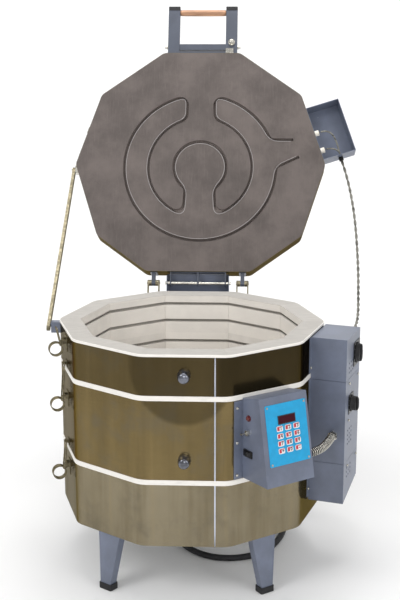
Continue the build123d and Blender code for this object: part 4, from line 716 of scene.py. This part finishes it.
def wire_finish(f):
    """Oxidised heating wire: dark scale with a little brown and a dull sheen."""
    scale = f.noise(260.0, 4.0)
    f.cover(scale.rise(0.4, 0.75), (0.13, 0.095, 0.075))
    return f.surface(Metallic=0.35, Roughness=0.62, Normal=f.bump(scale, 0.3, 0.0003))


def insulator_finish(f):
    """Fired clay: soft mottling and small pits."""
    mottle = f.noise(40.0, 5.0, 0.6)
    pits = (0.15 - f.cells(500.0)).rise(0.0, 0.1)
    f.tones(mottle.rise(0.3, 0.75), 0.8, 1.22)
    f.cover(pits * 0.6, 0.45)
    return f.surface(Roughness=0.7 + mottle * 0.15, Normal=f.bump(mottle - pits, 0.3, 0.0005))


def plug_finish(f):
    """Grey glazed clay in blotches from dark to pale, glossier where it is darker."""
    mottle = f.noise(60.0, 5.0, 0.6)
    f.tones(mottle.rise(0.3, 0.7), 0.6, 2.0)
    return f.surface(
        Metallic=0.8,
        Roughness=0.1 + mottle * 0.2,
        Coat_Weight=1.0,
        Normal=f.bump(mottle, 0.25, 0.0006),
    )


def sleeve_finish(f):
    """Glass braid: a fine weave across the strand, with a dark tracer now and then."""
    weave = f.cells(900.0)
    f.tones(weave.rise(0.15, 0.6), 1.5, 0.5)
    f.cover(f.noise((40, 40, 120), 3.0).rise(0.52, 0.6) * 0.75, 0.12)
    return f.surface(Roughness=0.75, Normal=f.bump(weave, 0.4, 0.0004))


def switch_finish(f):
    """Black plates, and bright metal for the toggle's bushing at its own height."""
    x, _, z = f.parts(f.place)
    wear = f.noise(90.0, 4.0, 0.6)
    bushing = abs(z - TOGGLE_HEIGHT).rise(0.013, 0.011) * x.rise(0.36, 0.34)
    f.cover(wear.rise(0.4, 0.8), 2.4)
    f.cover(bushing, colours().plated)
    return f.surface(Metallic=bushing, Roughness=0.42 - wear * 0.16)


def rubber_finish(f):
    """Moulded rubber: fine grain and pale dust in places."""
    dust = f.noise(35.0, 5.0, 0.65)
    f.cover(dust.rise(0.55, 0.85) * 0.3, (0.09, 0.085, 0.08))
    return f.surface(
        Roughness=0.62 + dust * 0.15, Normal=f.bump(f.noise(800.0, 2.0), 0.2, 0.0003)
    )


def plastic_finish(f):
    """Black moulded plastic: spark-eroded grain and slight polish where it is handled."""
    worn = f.noise(60.0, 3.0)
    f.cover(worn.rise(0.45, 0.8) * 0.5, 2.6)
    return f.surface(
        Roughness=0.42 - (worn - 0.5) * 0.2,
        Specular_IOR_Level=0.3,
        Normal=f.bump(f.noise(1100.0, 2.0), 0.18, 0.0003),
    )


def wood_finish(f):
    """A turned dowel: long grain along X, drawn-out pores and a warm change of tone."""
    grain = f.noise((14, 190, 190), 6.0, 0.6)
    pores = f.noise((60, 900, 900), 2.0)
    f.tones(grain.rise(0.32, 0.7), 0.62, 1.25)
    f.cover(pores.rise(0.58, 0.7) * 0.45, 0.4)
    return f.surface(
        Roughness=0.42 + grain * 0.15,
        Coat_Weight=0.2,
        Coat_Roughness=0.3,
        Normal=f.bump(grain * 0.6 - pores * 0.4, 0.2, 0.0004),
    )


def moulded_finish(f, roughness, coat, shine=0.5):
    """A smooth coloured film or moulding with faint handling marks."""
    marks = f.noise(55.0, 5.0, 0.6)
    f.cover(marks.rise(0.35, 0.8) * 0.5, 1.3)
    return f.surface(
        Roughness=roughness + (marks - 0.5) * 0.15,
        Coat_Weight=coat,
        Coat_Roughness=0.15,
        Specular_IOR_Level=shine,
        Normal=f.bump(f.noise(1400.0, 1.0), 0.06, 0.0002),
    )


def floor_finish(f):
    """A plain pale stage with hardly any tone in it, see-through from outside so that the
    kiln also shows from behind."""
    outside = f.node("ShaderNodeNewGeometry", output="Backfacing")
    f.cover(f.noise(1.5, 2.0).rise(0.3, 0.8), 0.985)
    return f.surface(clear=outside, Roughness=0.85)


# Each finish: its maker, its base colour and what else the maker takes
FINISHES = {
    "jacket_steel": (jacket_finish, "steel"),
    # A painted highlight along the jacket's lap
    "bright_steel": (steel_finish, "bright", 0.3, 0.7),
    "band_steel": (steel_finish, "band", 0.42, 0.95, (0.30, 0.26, 0.15, 1.0)),
    # Painted shade in the gaps of the conduit's winding
    "conduit_core": (steel_finish, "conduit", 0.45, 0.6),
    "aged_brass": (brass_finish, "brass"),
    "plated": (plated_finish, "plated"),
    "zinc": (zinc_finish, "zinc"),
    "enamel": (paint_finish, "paint", 1.0),
    # Painted shade: the same enamel at half its brightness, for parts that look shaded
    "handle_enamel": (paint_finish, "paint", 0.5),
    "firebrick": (brick_finish, "brick"),
    "lid_coating": (lid_finish, "lid_face"),
    "edging_trim": (edging_finish, "edging"),
    "heating_wire": (wire_finish, "wire"),
    "peephole_clay": (plug_finish, "plug"),
    "insulator": (insulator_finish, "ceramic"),
    "braided_sleeve": (sleeve_finish, "sleeve"),
    "switch_finish": (switch_finish, "plastic"),
    "black_rubber": (rubber_finish, "rubber"),
    "black_plastic": (plastic_finish, "plastic"),
    "turned_wood": (wood_finish, "wood"),
    # A painted highlight for the lit wall of the lid's groove
    "groove_edge": (moulded_finish, "groove_edge", 0.8, 0.0),
    "keypad_film": (moulded_finish, "keypad", 0.5, 0.05),
    "display_filter": (moulded_finish, "display", 0.4, 0.0, 0.15),
    "pale_key": (moulded_finish, "key_pale", 0.4, 0.2),
    "red_key": (moulded_finish, "key_red", 0.35, 0.3),
    "black_key": (moulded_finish, "key_black", 0.35, 0.3),
    "printed_figures": (moulded_finish, "figures", 0.5, 0.0),
    "lamp_lens": (moulded_finish, "lamp", 0.1, 0.8),
    "board_lacquer": (moulded_finish, "board", 0.35, 0.4),
    "stage_floor": (floor_finish, "floor"),
}
MADE = {}


def finish_named(name):
    """A finish made once and kept by name."""
    if name not in MADE:
        maker, field, *more = FINISHES[name]
        MADE[name] = maker(Finish(name, getattr(colours(), field)), *more)
    return MADE[name]


def dress(name, *nodes):
    """Gives solids of the frame a finish."""
    for node in nodes:
        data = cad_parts[node].data
        data.materials.clear()
        data.materials.append(finish_named(name))


# Operators

# Each light: its name, place, aim, diameter and watts
LIGHTS = (
    ("key_light", (-2.6, -2.4, 3.4), (0, 0, 0.7), 2.0, 54.0),
    ("fill_light", (3.0, -2.6, 2.0), (0, 0, 0.6), 2.0, 26.0),
    ("front_light", (0.5, -4.4, 1.9), (0, 0, 0.6), 1.8, 26.0),
    ("top_light", (0.2, 0.4, 4.0), (0, 0.2, 0.6), 2.4, 30.0),
    ("back_light", (0.0, 0.9, 4.2), (0, 3.4, 1.6), 3.0, 60.0),
)
WORLD_STRENGTH = 0.62
# The camera's place, its yaw, pitch and roll in degrees, and its focal length
CAMERA_PLACE = (0.180, -3.2889, 1.5326)
CAMERA_TURN = (-2.706, 13.465, -0.08)
CAMERA_LENS = 71.75


def facing(direction):
    """The turn of a lamp or camera that looks along a direction."""
    return direction.to_track_quat("-Z", "Y").to_matrix().to_4x4()


class KILN_OT_stage(bpy.types.Operator):
    """Floor, lights, surroundings and the camera"""

    bl_idname = "kiln.stage"
    bl_label = "Stage and camera"

    def execute(self, context):
        front, back, radius, half_width = -7.0, 2.0, 1.6, 7.0
        turn = np.linspace(0, np.pi / 2, 24)[1:]
        sweep = [(y, 0.0) for y in np.linspace(front, back, 4)]
        sweep += [(back + radius * math.sin(t), radius - radius * math.cos(t)) for t in turn]
        sweep += [(back + radius, z) for z in (2.6, 4.0, 5.5)]
        across = np.linspace(-half_width, half_width, 15)
        grid = [(x, y, z) for y, z in sweep for x in across]
        faces = net(len(sweep), len(across), False)
        floor = piece("stage_floor", (grid, faces), None, "stage_floor")
        for name, place, target, size, power in LIGHTS:
            data = bpy.data.lights.new(name, "AREA")
            data.shape = "DISK"
            data.size = size
            data.energy = power
            aim = facing(Vector(target) - Vector(place))
            linked(name, data).matrix_world = Matrix.Translation(place) @ aim
        world = bpy.data.worlds.new("studio")
        world.use_nodes = True
        sky = world.node_tree.nodes["Background"]
        sky.inputs["Color"].default_value = (1.0, 1.0, 1.0, 1.0)
        sky.inputs["Strength"].default_value = WORLD_STRENGTH
        context.scene.world = world
        context.scene.view_settings.view_transform = "Standard"

        yaw, pitch, roll = (math.radians(angle) for angle in CAMERA_TURN)
        level = math.cos(pitch)
        ahead = Vector((math.sin(yaw) * level, math.cos(yaw) * level, -math.sin(pitch)))
        data = bpy.data.cameras.new("photograph")
        data.sensor_fit = "VERTICAL"
        data.sensor_height = 36.0
        data.lens = CAMERA_LENS
        data.clip_end = 50.0
        camera = linked("photograph", data)
        place = Matrix.Translation(CAMERA_PLACE)
        camera.matrix_world = place @ facing(ahead) @ Matrix.Rotation(roll, 4, "Z")
        context.scene.camera = camera
        return {"FINISHED"}


CORD_POINTS = (
    (0.422638, 0.022499, 0.262),
    (0.447359, 0.098584, 0.262),
    (0.438, 0.190, 0.232),
    (0.365, 0.250, 0.165),
    (0.300, 0.226, 0.078),
    (0.280, 0.150, 0.022),
    (0.272, 0.060, 0.0093),
    (0.232, -0.050, 0.0093),
    (0.160, -0.112, 0.0093),
    (0.072, -0.118, 0.0093),
    (0.0, -0.070, 0.0093),
    (-0.048, 0.018, 0.0093),
    (-0.072, 0.120, 0.0093),
    (-0.066, 0.230, 0.0093),
    (-0.020, 0.330, 0.0093),
    (0.062, 0.396, 0.0093),
    (0.160, 0.420, 0.0093),
)


class KILN_OT_power_cord(bpy.types.Operator):
    """The power cord, its ribbed strain relief and its plug"""

    bl_idname = "kiln.power_cord"
    bl_label = "Power cord"

    def execute(self, context):
        radius = sizes().cord_diameter / 2
        cord = spline_curve("mains_cord", CORD_POINTS, radius)
        cord.data.use_fill_caps = True
        cord.data.materials.append(finish_named("black_rubber"))
        cord.data.bevel_depth = 0.0
        line, _ = worked_out(cord)
        cord.data.bevel_depth = radius
        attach(cord, BODY)
        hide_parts("power_cord")
        start = np.array(CORD_POINTS[0])
        ahead = unit(np.array(CORD_POINTS[1]) - start)
        rings, reach, rib = 28, 0.042, 0.0011
        wide, taper = 0.0125, 0.0028
        profile = [(0, 0.0)]
        for i in range(rings + 1):
            share = i / rings
            raised = rib if i % 4 in (1, 2) else 0.0
            profile.append((wide - taper * share + raised, reach * share))
        profile.append((0, reach))
        shape = lathe(profile, start, ahead, 32)
        relief = piece("cord_relief", shape, BODY, "black_rubber")
        dress("black_rubber", "plug_body")
        dress("plated", "plug_blades")
        return {"FINISHED"}


LEAD_EXIT = by_side(BOX_FACE, 0.432, 0.134, 0.655)
LEAD_ENTRY = lid_point(by_side(BOX_FACE, 0.440, 0.116, LID_GLAND_HEIGHT))
LEAD_POINTS = (
    LEAD_EXIT,
    LEAD_EXIT + 0.055 * BOX_AXES[0],
    (0.483, 0.128, 0.672),
    (0.489, 0.213, 0.713),
    (0.494, 0.297, 0.771),
    (0.494, 0.380, 0.845),
    (0.489, 0.452, 0.926),
    LEAD_ENTRY + 0.062 * lid_turn(BOX_AXES[0]),
    LEAD_ENTRY,
)


class KILN_OT_lid_lead(bpy.types.Operator):
    """The twisted lead from the top box to the lid's terminal cover"""

    bl_idname = "kiln.lid_lead"
    bl_label = "Lid lead"

    def execute(self, context):
        step = 0.004
        route = spline_curve("lead_route", LEAD_POINTS, 0.0)
        line = even_path(worked_out(route)[0], step)
        bpy.data.objects.remove(route)
        strand, pitch = sizes().lead_strand, sizes().lead_pitch
        ahead = unit(np.gradient(line, axis=0))
        side = unit(np.cross(ahead, (1.0, 0.0, 0.0)))
        other = np.cross(ahead, side)
        w = 2 * np.pi * step * np.arange(len(line)) / pitch
        strands = []
        for start in (0.0, np.pi):
            twist = around(side, other, w + start)
            strands.append(tube(line + strand * twist, strand, 10, twist))
        lead = piece("lid_lead_pair", joined(strands), None, "braided_sleeve")
        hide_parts("lid_lead")
        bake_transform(lead)
        return {"FINISHED"}


class KILN_OT_brickwork(bpy.types.Operator):
    """Firebricks, floor slab and the small ceramic pieces"""

    bl_idname = "kiln.brickwork"
    bl_label = "Brickwork"

    def execute(self, context):
        dress("firebrick", "floor_slab", "brick_ring_bottom", "brick_ring_middle", "brick_ring_top")
        dress("insulator", "terminal_blocks", "thermocouple", "lid_bushings")
        dress("peephole_clay", "peephole_plug_upper", "peephole_plug_lower")
        dome = [(0, -0.002), (0.0138, -0.002), (0.0144, 0.0008), (0.0136, 0.0024)]
        dome += [(0.0118, 0.0040), (0.0092, 0.0054), (0.0060, 0.0064), (0.0028, 0.0069)]
        dome.append((0, 0.0070))
        for which, height in PLUG_HEIGHTS.items():
            front = by_side(FRONT_FACE, PLUG_REACH, 0, height)
            shape = lathe(dome, front, by_side(FRONT_FACE, 1), 48)
            node = f"peephole_plug_{which}"
            piece(f"plug_{which}_face", shape, node, "peephole_clay")
        return {"FINISHED"}


class KILN_OT_jackets(bpy.types.Operator):
    """Stainless jackets, the strips at the joints and the rivets of the lap"""

    bl_idname = "kiln.jackets"
    bl_label = "Jackets and edging"

    def execute(self, context):
        dress("jacket_steel", "jacket_bottom", "jacket_middle", "jacket_top")
        dress("edging_trim", "edging_strips")
        axes = side_axes(FRONT_FACE)
        # The lap strip and its rivets are pale blue-grey: a painted highlight along the lap's edge
        middle, half_width, half_height, thickness = 0.4205, 0.0021, 0.2625, 0.0004
        centre = by_side(FRONT_FACE, LAP_REACH, LAP_ALONG, middle)
        lap = pad(centre, axes, half_width, half_height, thickness)
        piece("lap_strip", lap, BODY, "bright_steel")
        head = [(0, 0), (0.0024, 0), (0.0021, 0.0008), (0.0013, 0.0013), (0, 0.0015)]
        heads = []
        for height in LAP_RIVETS:
            centre = by_side(FRONT_FACE, LAP_REACH, LAP_ALONG, height)
            heads.append(lathe(head, centre, axes[2], 16))
        piece("lap_rivets", joined(heads), BODY, "bright_steel")
        return {"FINISHED"}


def screw_row(face, reach, places, turn, start=0.0):
    """Screw heads on a side of the barrel at (along, height) places, each turned further."""
    out, radius = by_side(face, 1), sizes().screw_head
    return [
        screw_head(by_side(face, reach, along, height), out, radius, start + turn * i)
        for i, (along, height) in enumerate(places)
    ]


class KILN_OT_covers(bpy.types.Operator):
    """Painted covers and legs, their screws and the conduit"""

    bl_idname = "kiln.covers"
    bl_label = "Covers, legs and screws"

    def execute(self, context):
        dress("enamel", "terminal_box_top", "terminal_box_middle", "terminal_box_bottom")
        dress("enamel", "lid_terminal_box", "control_box", "legs", "arm_bracket", "hinge_channel")
        # The handle's bracket and the hinge straps take the enamel at half brightness: painted
        # shade
        dress("handle_enamel", "handle_bracket", "lid_hinge_straps")
        # The conduit's core is near black: painted shade for the gaps between the turns of its
        # winding
        dress("conduit_core", "conduit")
        dress("plated", "cover_fasteners")
        dress("aged_brass", "latch_plates", "side_brackets")
        dress("zinc", "stand_pan")
        dress("switch_finish", "switch_fittings")
        dress("black_rubber", "rubber_feet")
        dress("black_plastic", "cord_glands", "lead_gland_lid", "rocker_switch")
        dress("board_lacquer", "controller_board")
        height, pull_share = 0.403, 0.36
        start = by_side(PANEL_FACE, out=0.436, along=0.086, up=height)
        end = by_side(BOX_FACE, out=0.428, along=-0.040, up=height)
        pull = pull_share * np.linalg.norm(end - start)
        leave = start + pull * by_side(PANEL_FACE, along=1)
        arrive = end - pull * by_side(BOX_FACE, along=1)
        line = bend(start, leave, arrive, end)
        winding = coil(line, UP, radius=0.0104, wire=0.0013, pitch=0.0066, steps=24, sides=8)
        piece("conduit_winding", winding, BODY, "plated")
        heads = []
        for along in (-0.094, 0.094):
            places = [(along, z) for z in (0.541, 0.446, 0.357)]
            heads += screw_row(PANEL_FACE, FLANGE_REACH, places, turn=0.7, start=9 * along)
        places = [(-0.036, z) for z in (0.592, 0.380, 0.240)]
        heads += screw_row(BOX_FACE, FLANGE_REACH, places, turn=1.1)
        near, far, stand_off = 0.005, 0.105, 0.0003
        places = [(near, 0.546), (near, 0.440), (far, 0.440), (far, 0.546)]
        places += [(near, 0.308), (far, 0.308)]
        heads += screw_row(BOX_FACE, COVER_REACH + stand_off, places, turn=0.8)
        piece("cover_screw_heads", joined(heads), BODY, "plated")
        return {"FINISHED"}


PANEL_TOP_REACH = 0.431
PANEL_LOW_REACH = 0.474
PANEL_TOP = 0.579
PANEL_LOW = 0.351
PANEL_LEAN = math.atan2(PANEL_LOW_REACH - PANEL_TOP_REACH, PANEL_TOP - PANEL_LOW)
PANEL_AXES = (
    by_side(PANEL_FACE, along=1),
    by_side(PANEL_FACE, out=-math.sin(PANEL_LEAN), up=math.cos(PANEL_LEAN)),
    by_side(PANEL_FACE, out=math.cos(PANEL_LEAN), up=math.sin(PANEL_LEAN)),
)


def panel_point(along, drop, lift):
    """A point on the leaning panel: along it, down from its top edge, and out of it."""
    top = by_side(PANEL_FACE, PANEL_TOP_REACH, along, PANEL_TOP)
    return top - drop * PANEL_AXES[1] + lift * PANEL_AXES[2]


class KILN_OT_keypad(bpy.types.Operator):
    """The membrane keypad, its display window, keys and figures"""

    bl_idname = "kiln.keypad"
    bl_label = "Keypad and display"

    def execute(self, context):
        dress("keypad_film", "keypad")
        dress("display_filter", "display_window")
        dress("lamp_lens", "pilot_lamp")
        axes = PANEL_AXES
        first_along, first_drop, column_pitch, row_pitch = -0.0212, 0.0848, 0.0268, 0.0193
        key_size, block_size = (0.0100, 0.0072, 0.0012), (0.0072, 0.0096, 0.00022)
        line_size, figure_height = (0.0162, 0.0021, 0.00022), 0.0125
        key_lift, block_lift, line_lift, figure_lift = 0.0019, 0.0030, 0.0029, 0.00316
        keys, reds, prints = [], [], []
        for i, label in enumerate("123456789+0-"):
            row, column = divmod(i, 3)
            along = first_along + column * column_pitch
            drop = first_drop + row * row_pitch
            keys.append(pad(panel_point(along, drop, key_lift), axes, *key_size))
            place = panel_point(along + 0.0036, drop, figure_lift)
            prints.append(figure(label, place, axes, figure_height))
            block = panel_point(along - 0.0048, drop, block_lift)
            line = panel_point(along + 0.0002, drop - 0.0048, line_lift)
            reds += [bar(block, axes, *block_size), bar(line, axes, *line_size)]
        piece("keys", joined(keys), BODY, "pale_key")
        piece("red_prints", joined(reds), BODY, "red_key", False)
        bezel = [
            bar(panel_point(along, drop, 0.0010), axes, width, height, 0.0014)
            for along, drop, width, height in (
                (0.004, 0.0520, 0.056, 0.002),
                (0.004, 0.0730, 0.056, 0.002),
                (-0.023, 0.0625, 0.002, 0.019),
                (0.031, 0.0625, 0.002, 0.019),
            )
        ]
        piece("display_bezel", joined(bezel), BODY, "black_key", False)
        piece("key_figures", joined(prints), BODY, "black_key", False)
        return {"FINISHED"}


def knob_shape(along, height, radius, depth):
    """A fluted knob: a turned skirt and crown whose radius waves round the turn, and a
    raised pointer across it. Its printed mark comes as a shape of its own."""
    origin = by_side(BOX_FACE, COVER_REACH, along, height)
    _, up, out = BOX_AXES
    skirt = [
        (0, 0.0),
        (radius, 0.0),
        (radius, 0.0022),
        (radius - 0.0012, 0.0034),
        (0.86 * radius, 0.0042),
        (0.84 * radius, 0.6 * depth),
        (0.80 * radius, 0.68 * depth),
        (0, 0.70 * depth),
    ]
    crown = lathe(skirt, origin, out, 112, 0.018, sizes().knob_flutes)
    top = origin + 0.6 * depth * out
    pointer = pad(top, BOX_AXES, 0.2 * radius, 0.84 * radius, 0.4 * depth, 5)
    front = origin + depth * out + 0.5 * radius * up
    return joined((crown, pointer)), pad(front, BOX_AXES, 0.0007, 0.25 * radius, 0.0003)


class KILN_OT_knobs(bpy.types.Operator):
    """The two rotary knobs with their pointers and scales"""

    bl_idname = "kiln.knobs"
    bl_label = "Knobs"

    def execute(self, context):
        right, up, out = BOX_AXES
        gap, mark_size = 0.0022, (0.0007, 0.0028, 0.0002)
        marks = []
        for which, along, height, radius, depth in (
            ("top", 0.082, 0.615, 0.029, 0.016),
            ("middle", 0.030, 0.483, 0.0232, 0.022),
        ):
            shape, mark = knob_shape(along, height, radius, depth)
            node = f"rotary_knob_{which}"
            knob = piece(f"knob_{which}", shape, node, "black_plastic")
            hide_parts(node)
            piece(f"knob_{which}_mark", mark, node, "printed_figures", False)
            middle = by_side(BOX_FACE, COVER_REACH - 0.0004, along, height)
            for turn in np.radians(np.linspace(-150, 150, 11)):
                away = math.sin(turn) * right + math.cos(turn) * up
                across = math.cos(turn) * right - math.sin(turn) * up
                place = middle + (radius + gap) * away
                marks.append(bar(place, (across, away, out), *mark_size))
        piece("scale_marks", joined(marks), BODY, "printed_figures", False)
        return {"FINISHED"}


class KILN_OT_lid(bpy.types.Operator):
    """The lid's slab, band, handle and hinge"""

    bl_idname = "kiln.lid"
    bl_label = "Lid and handle"

    def execute(self, context):
        dress("lid_coating", "lid_slab")
        dress("band_steel", "lid_band")
        dress("aged_brass", "support_arm")
        dress("plated", "lid_hardware", "hinge_pins", "arm_lug", "toggle_lever")
        dress("black_rubber", "handle_caps")
        half, radius, thinner, edge = 0.0758, 0.0105, 0.06, 0.001
        x = np.linspace(-half, half, 25)
        swell = radius * (1.0 - thinner * (x / half) ** 4)
        profile = [(0, x[0]), *zip(swell - edge * (np.abs(x) > 0.99 * half), x), (0, x[-1])]
        shape = lathe(profile, lid_point(GRIP_CENTRE), (1, 0, 0))
        grip = piece("wooden_grip", shape, LID, "turned_wood")
        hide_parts("handle_grip")
        return {"FINISHED"}


class KILN_OT_latches(bpy.types.Operator):
    """Ring levers and wire bails"""

    bl_idname = "kiln.latches"
    bl_label = "Latches"

    def execute(self, context):
        for which in ("rim", "upper", "lower"):
            dress("aged_brass", f"latch_lever_{which}", f"latch_bail_{which}")
        return {"FINISHED"}


def wall_loop(height):
    """The line of one wall element: a decagon with rounded corners, open at its tails."""
    apothem = CHAMBER_APOTHEM + GROOVE_DEPTH / 2
    corner = apothem / math.cos(math.radians(SIDE_ANGLE / 2))
    last, first = (by_side(BOX_FACE, apothem, along, height) for along in WALL_TAILS)
    angles = BOX_FACE + SIDE_ANGLE * (np.arange(10) + 0.5)
    corners = [by_side(angle, corner, 0, height) for angle in angles]
    return softened([first, *corners, last], window=0.014, step=0.002)


def lid_ring(radius, start, end):
    """Points of one ring of the lid's element, between two angles in degrees."""
    centre = 0.008
    a = np.radians(np.linspace(start, end, 90))
    return np.stack((radius * np.cos(a), centre + radius * np.sin(a), np.zeros(len(a))), -1)


def ring_angle(radius, x):
    """The angle in degrees of a ring's point at an x, on its back half."""
    return math.degrees(math.acos(x / radius))


def lid_line():
    """The line of the lid's element on the closed lid: in from the edge, three rings, out.
    The rings end beside a gap in front and one behind, given by their half widths."""
    outer, middle, inner = 0.243, 0.166, 0.085
    front_gap, back_gap, inner_gap = 0.044, 0.052, 0.046
    tail_reach, wire_depth = 0.309, 0.0066
    outer_start = -ring_angle(outer, 0.925 * outer)
    outer_end = -ring_angle(outer, front_gap)
    middle_start = -ring_angle(middle, front_gap)
    middle_end = ring_angle(middle, back_gap)
    inner_start = ring_angle(inner, inner_gap)
    first, second = (by_side(BOX_FACE, tail_reach, along)[None] for along in LID_TAILS)
    line = [
        first,
        lid_ring(outer, outer_start, outer_end),
        lid_ring(middle, middle_start, middle_end),
        lid_ring(inner, inner_start, -180 - inner_start),
        lid_ring(middle, 180 - middle_end, 180 - middle_start),
        lid_ring(outer, -180 - outer_end, -360),
        second,
    ]
    line = softened(np.concatenate(line), window=0.052, step=0.002)
    line[:, 2] = LID_BOTTOM + wire_depth
    return line


def groove_edge(line, offset, radius):
    """A thin round bead on the lid's face: the line moved sideways by an offset, then a
    tube round that. Pale, it is a painted highlight for the lit wall of a groove."""
    side = np.cross(unit(np.gradient(line, axis=0)), UP)
    rail = line + offset * side
    rail[:, 2] = LID_BOTTOM
    return tube(lid_point(rail), radius, 8, LID_UP)


class KILN_OT_coils(bpy.types.Operator):
    """The wound heating wires in the chamber wall and in the lid"""

    bl_idname = "kiln.coils"
    bl_label = "Heating coils"

    def execute(self, context):
        s = sizes()
        wire = (s.coil_radius, s.coil_wire, s.coil_pitch)
        wound, tails = [], []
        for height in ELEMENT_HEIGHTS:
            wound.append(coil(wall_loop(height), UP, *wire))
            for along in WALL_TAILS:
                ends = [by_side(BOX_FACE, reach, along, height) for reach in WALL_TAIL_REACH]
                tails.append(rod(*ends, UP))
        walls = piece("wall_coils", joined(wound + tails), BODY, "heating_wire")
        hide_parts("wall_elements")

        line = lid_line()
        shapes = [coil(lid_point(line), LID_UP, *wire)]
        for along in LID_TAILS:
            ends = [by_side(BOX_FACE, reach, along, LID_TAIL_HEIGHT) for reach in LID_TAIL_REACH]
            shapes.append(rod(*lid_point(ends), LID_UP))
        over = piece("lid_coil", joined(shapes), LID, "heating_wire")
        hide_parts("lid_element")

        wires = []
        for along, rise in zip(LID_TAILS, (0.008, 0.016)):
            shape = bend(
                by_side(BOX_FACE, 0.402, along, LID_TAIL_HEIGHT),
                by_side(BOX_FACE, 0.436, along, LID_BOTTOM + rise),
                by_side(BOX_FACE, 0.446, along + 0.022, LID_BOTTOM + 1.6 * rise),
                by_side(BOX_FACE, 0.440, 0.099, LID_GLAND_HEIGHT),
            )
            wires.append(tube(lid_point(shape), radius=0.0026, sides=10, first_side=LID_UP))
        piece("lid_box_wires", joined(wires), LID, "braided_sleeve")
        # A pale bead along one side of the groove: a painted highlight for its lit wall
        edge = groove_edge(line[4:-4], offset=0.0054, radius=0.0006)
        piece("groove_edges", edge, LID, "groove_edge")
        return {"FINISHED"}


class KILN_PT_panel(bpy.types.Panel):
    """The kiln's sizes, colours and pieces"""

    bl_idname = "KILN_PT_panel"
    bl_label = "Kiln"
    bl_space_type = "VIEW_3D"
    bl_region_type = "UI"
    bl_category = "Kiln"

    def draw(self, context):
        layout = self.layout
        for group in (context.scene.kiln_sizes, context.scene.kiln_colours):
            for field in type(group).__annotations__:
                layout.prop(group, field)
        for operator in OPERATORS:
            layout.operator(operator.bl_idname)


OPERATORS = (
    KILN_OT_stage,
    KILN_OT_power_cord,
    KILN_OT_lid_lead,
    KILN_OT_brickwork,
    KILN_OT_jackets,
    KILN_OT_covers,
    KILN_OT_keypad,
    KILN_OT_knobs,
    KILN_OT_lid,
    KILN_OT_latches,
    KILN_OT_coils,
)
CLASSES = (KilnSizes, KilnColours, *OPERATORS, KILN_PT_panel)


def register():
    for cls in CLASSES:
        bpy.utils.register_class(cls)
    bpy.types.Scene.kiln_sizes = PointerProperty(type=KilnSizes)
    bpy.types.Scene.kiln_colours = PointerProperty(type=KilnColours)


def unregister():
    del bpy.types.Scene.kiln_colours
    del bpy.types.Scene.kiln_sizes
    for cls in reversed(CLASSES):
        bpy.utils.unregister_class(cls)


def main():
    """Makes every piece in order."""
    register()
    for operator in OPERATORS:
        group, call = operator.bl_idname.split(".")
        getattr(getattr(bpy.ops, group), call)()


if __name__ == "__main__":
    main()
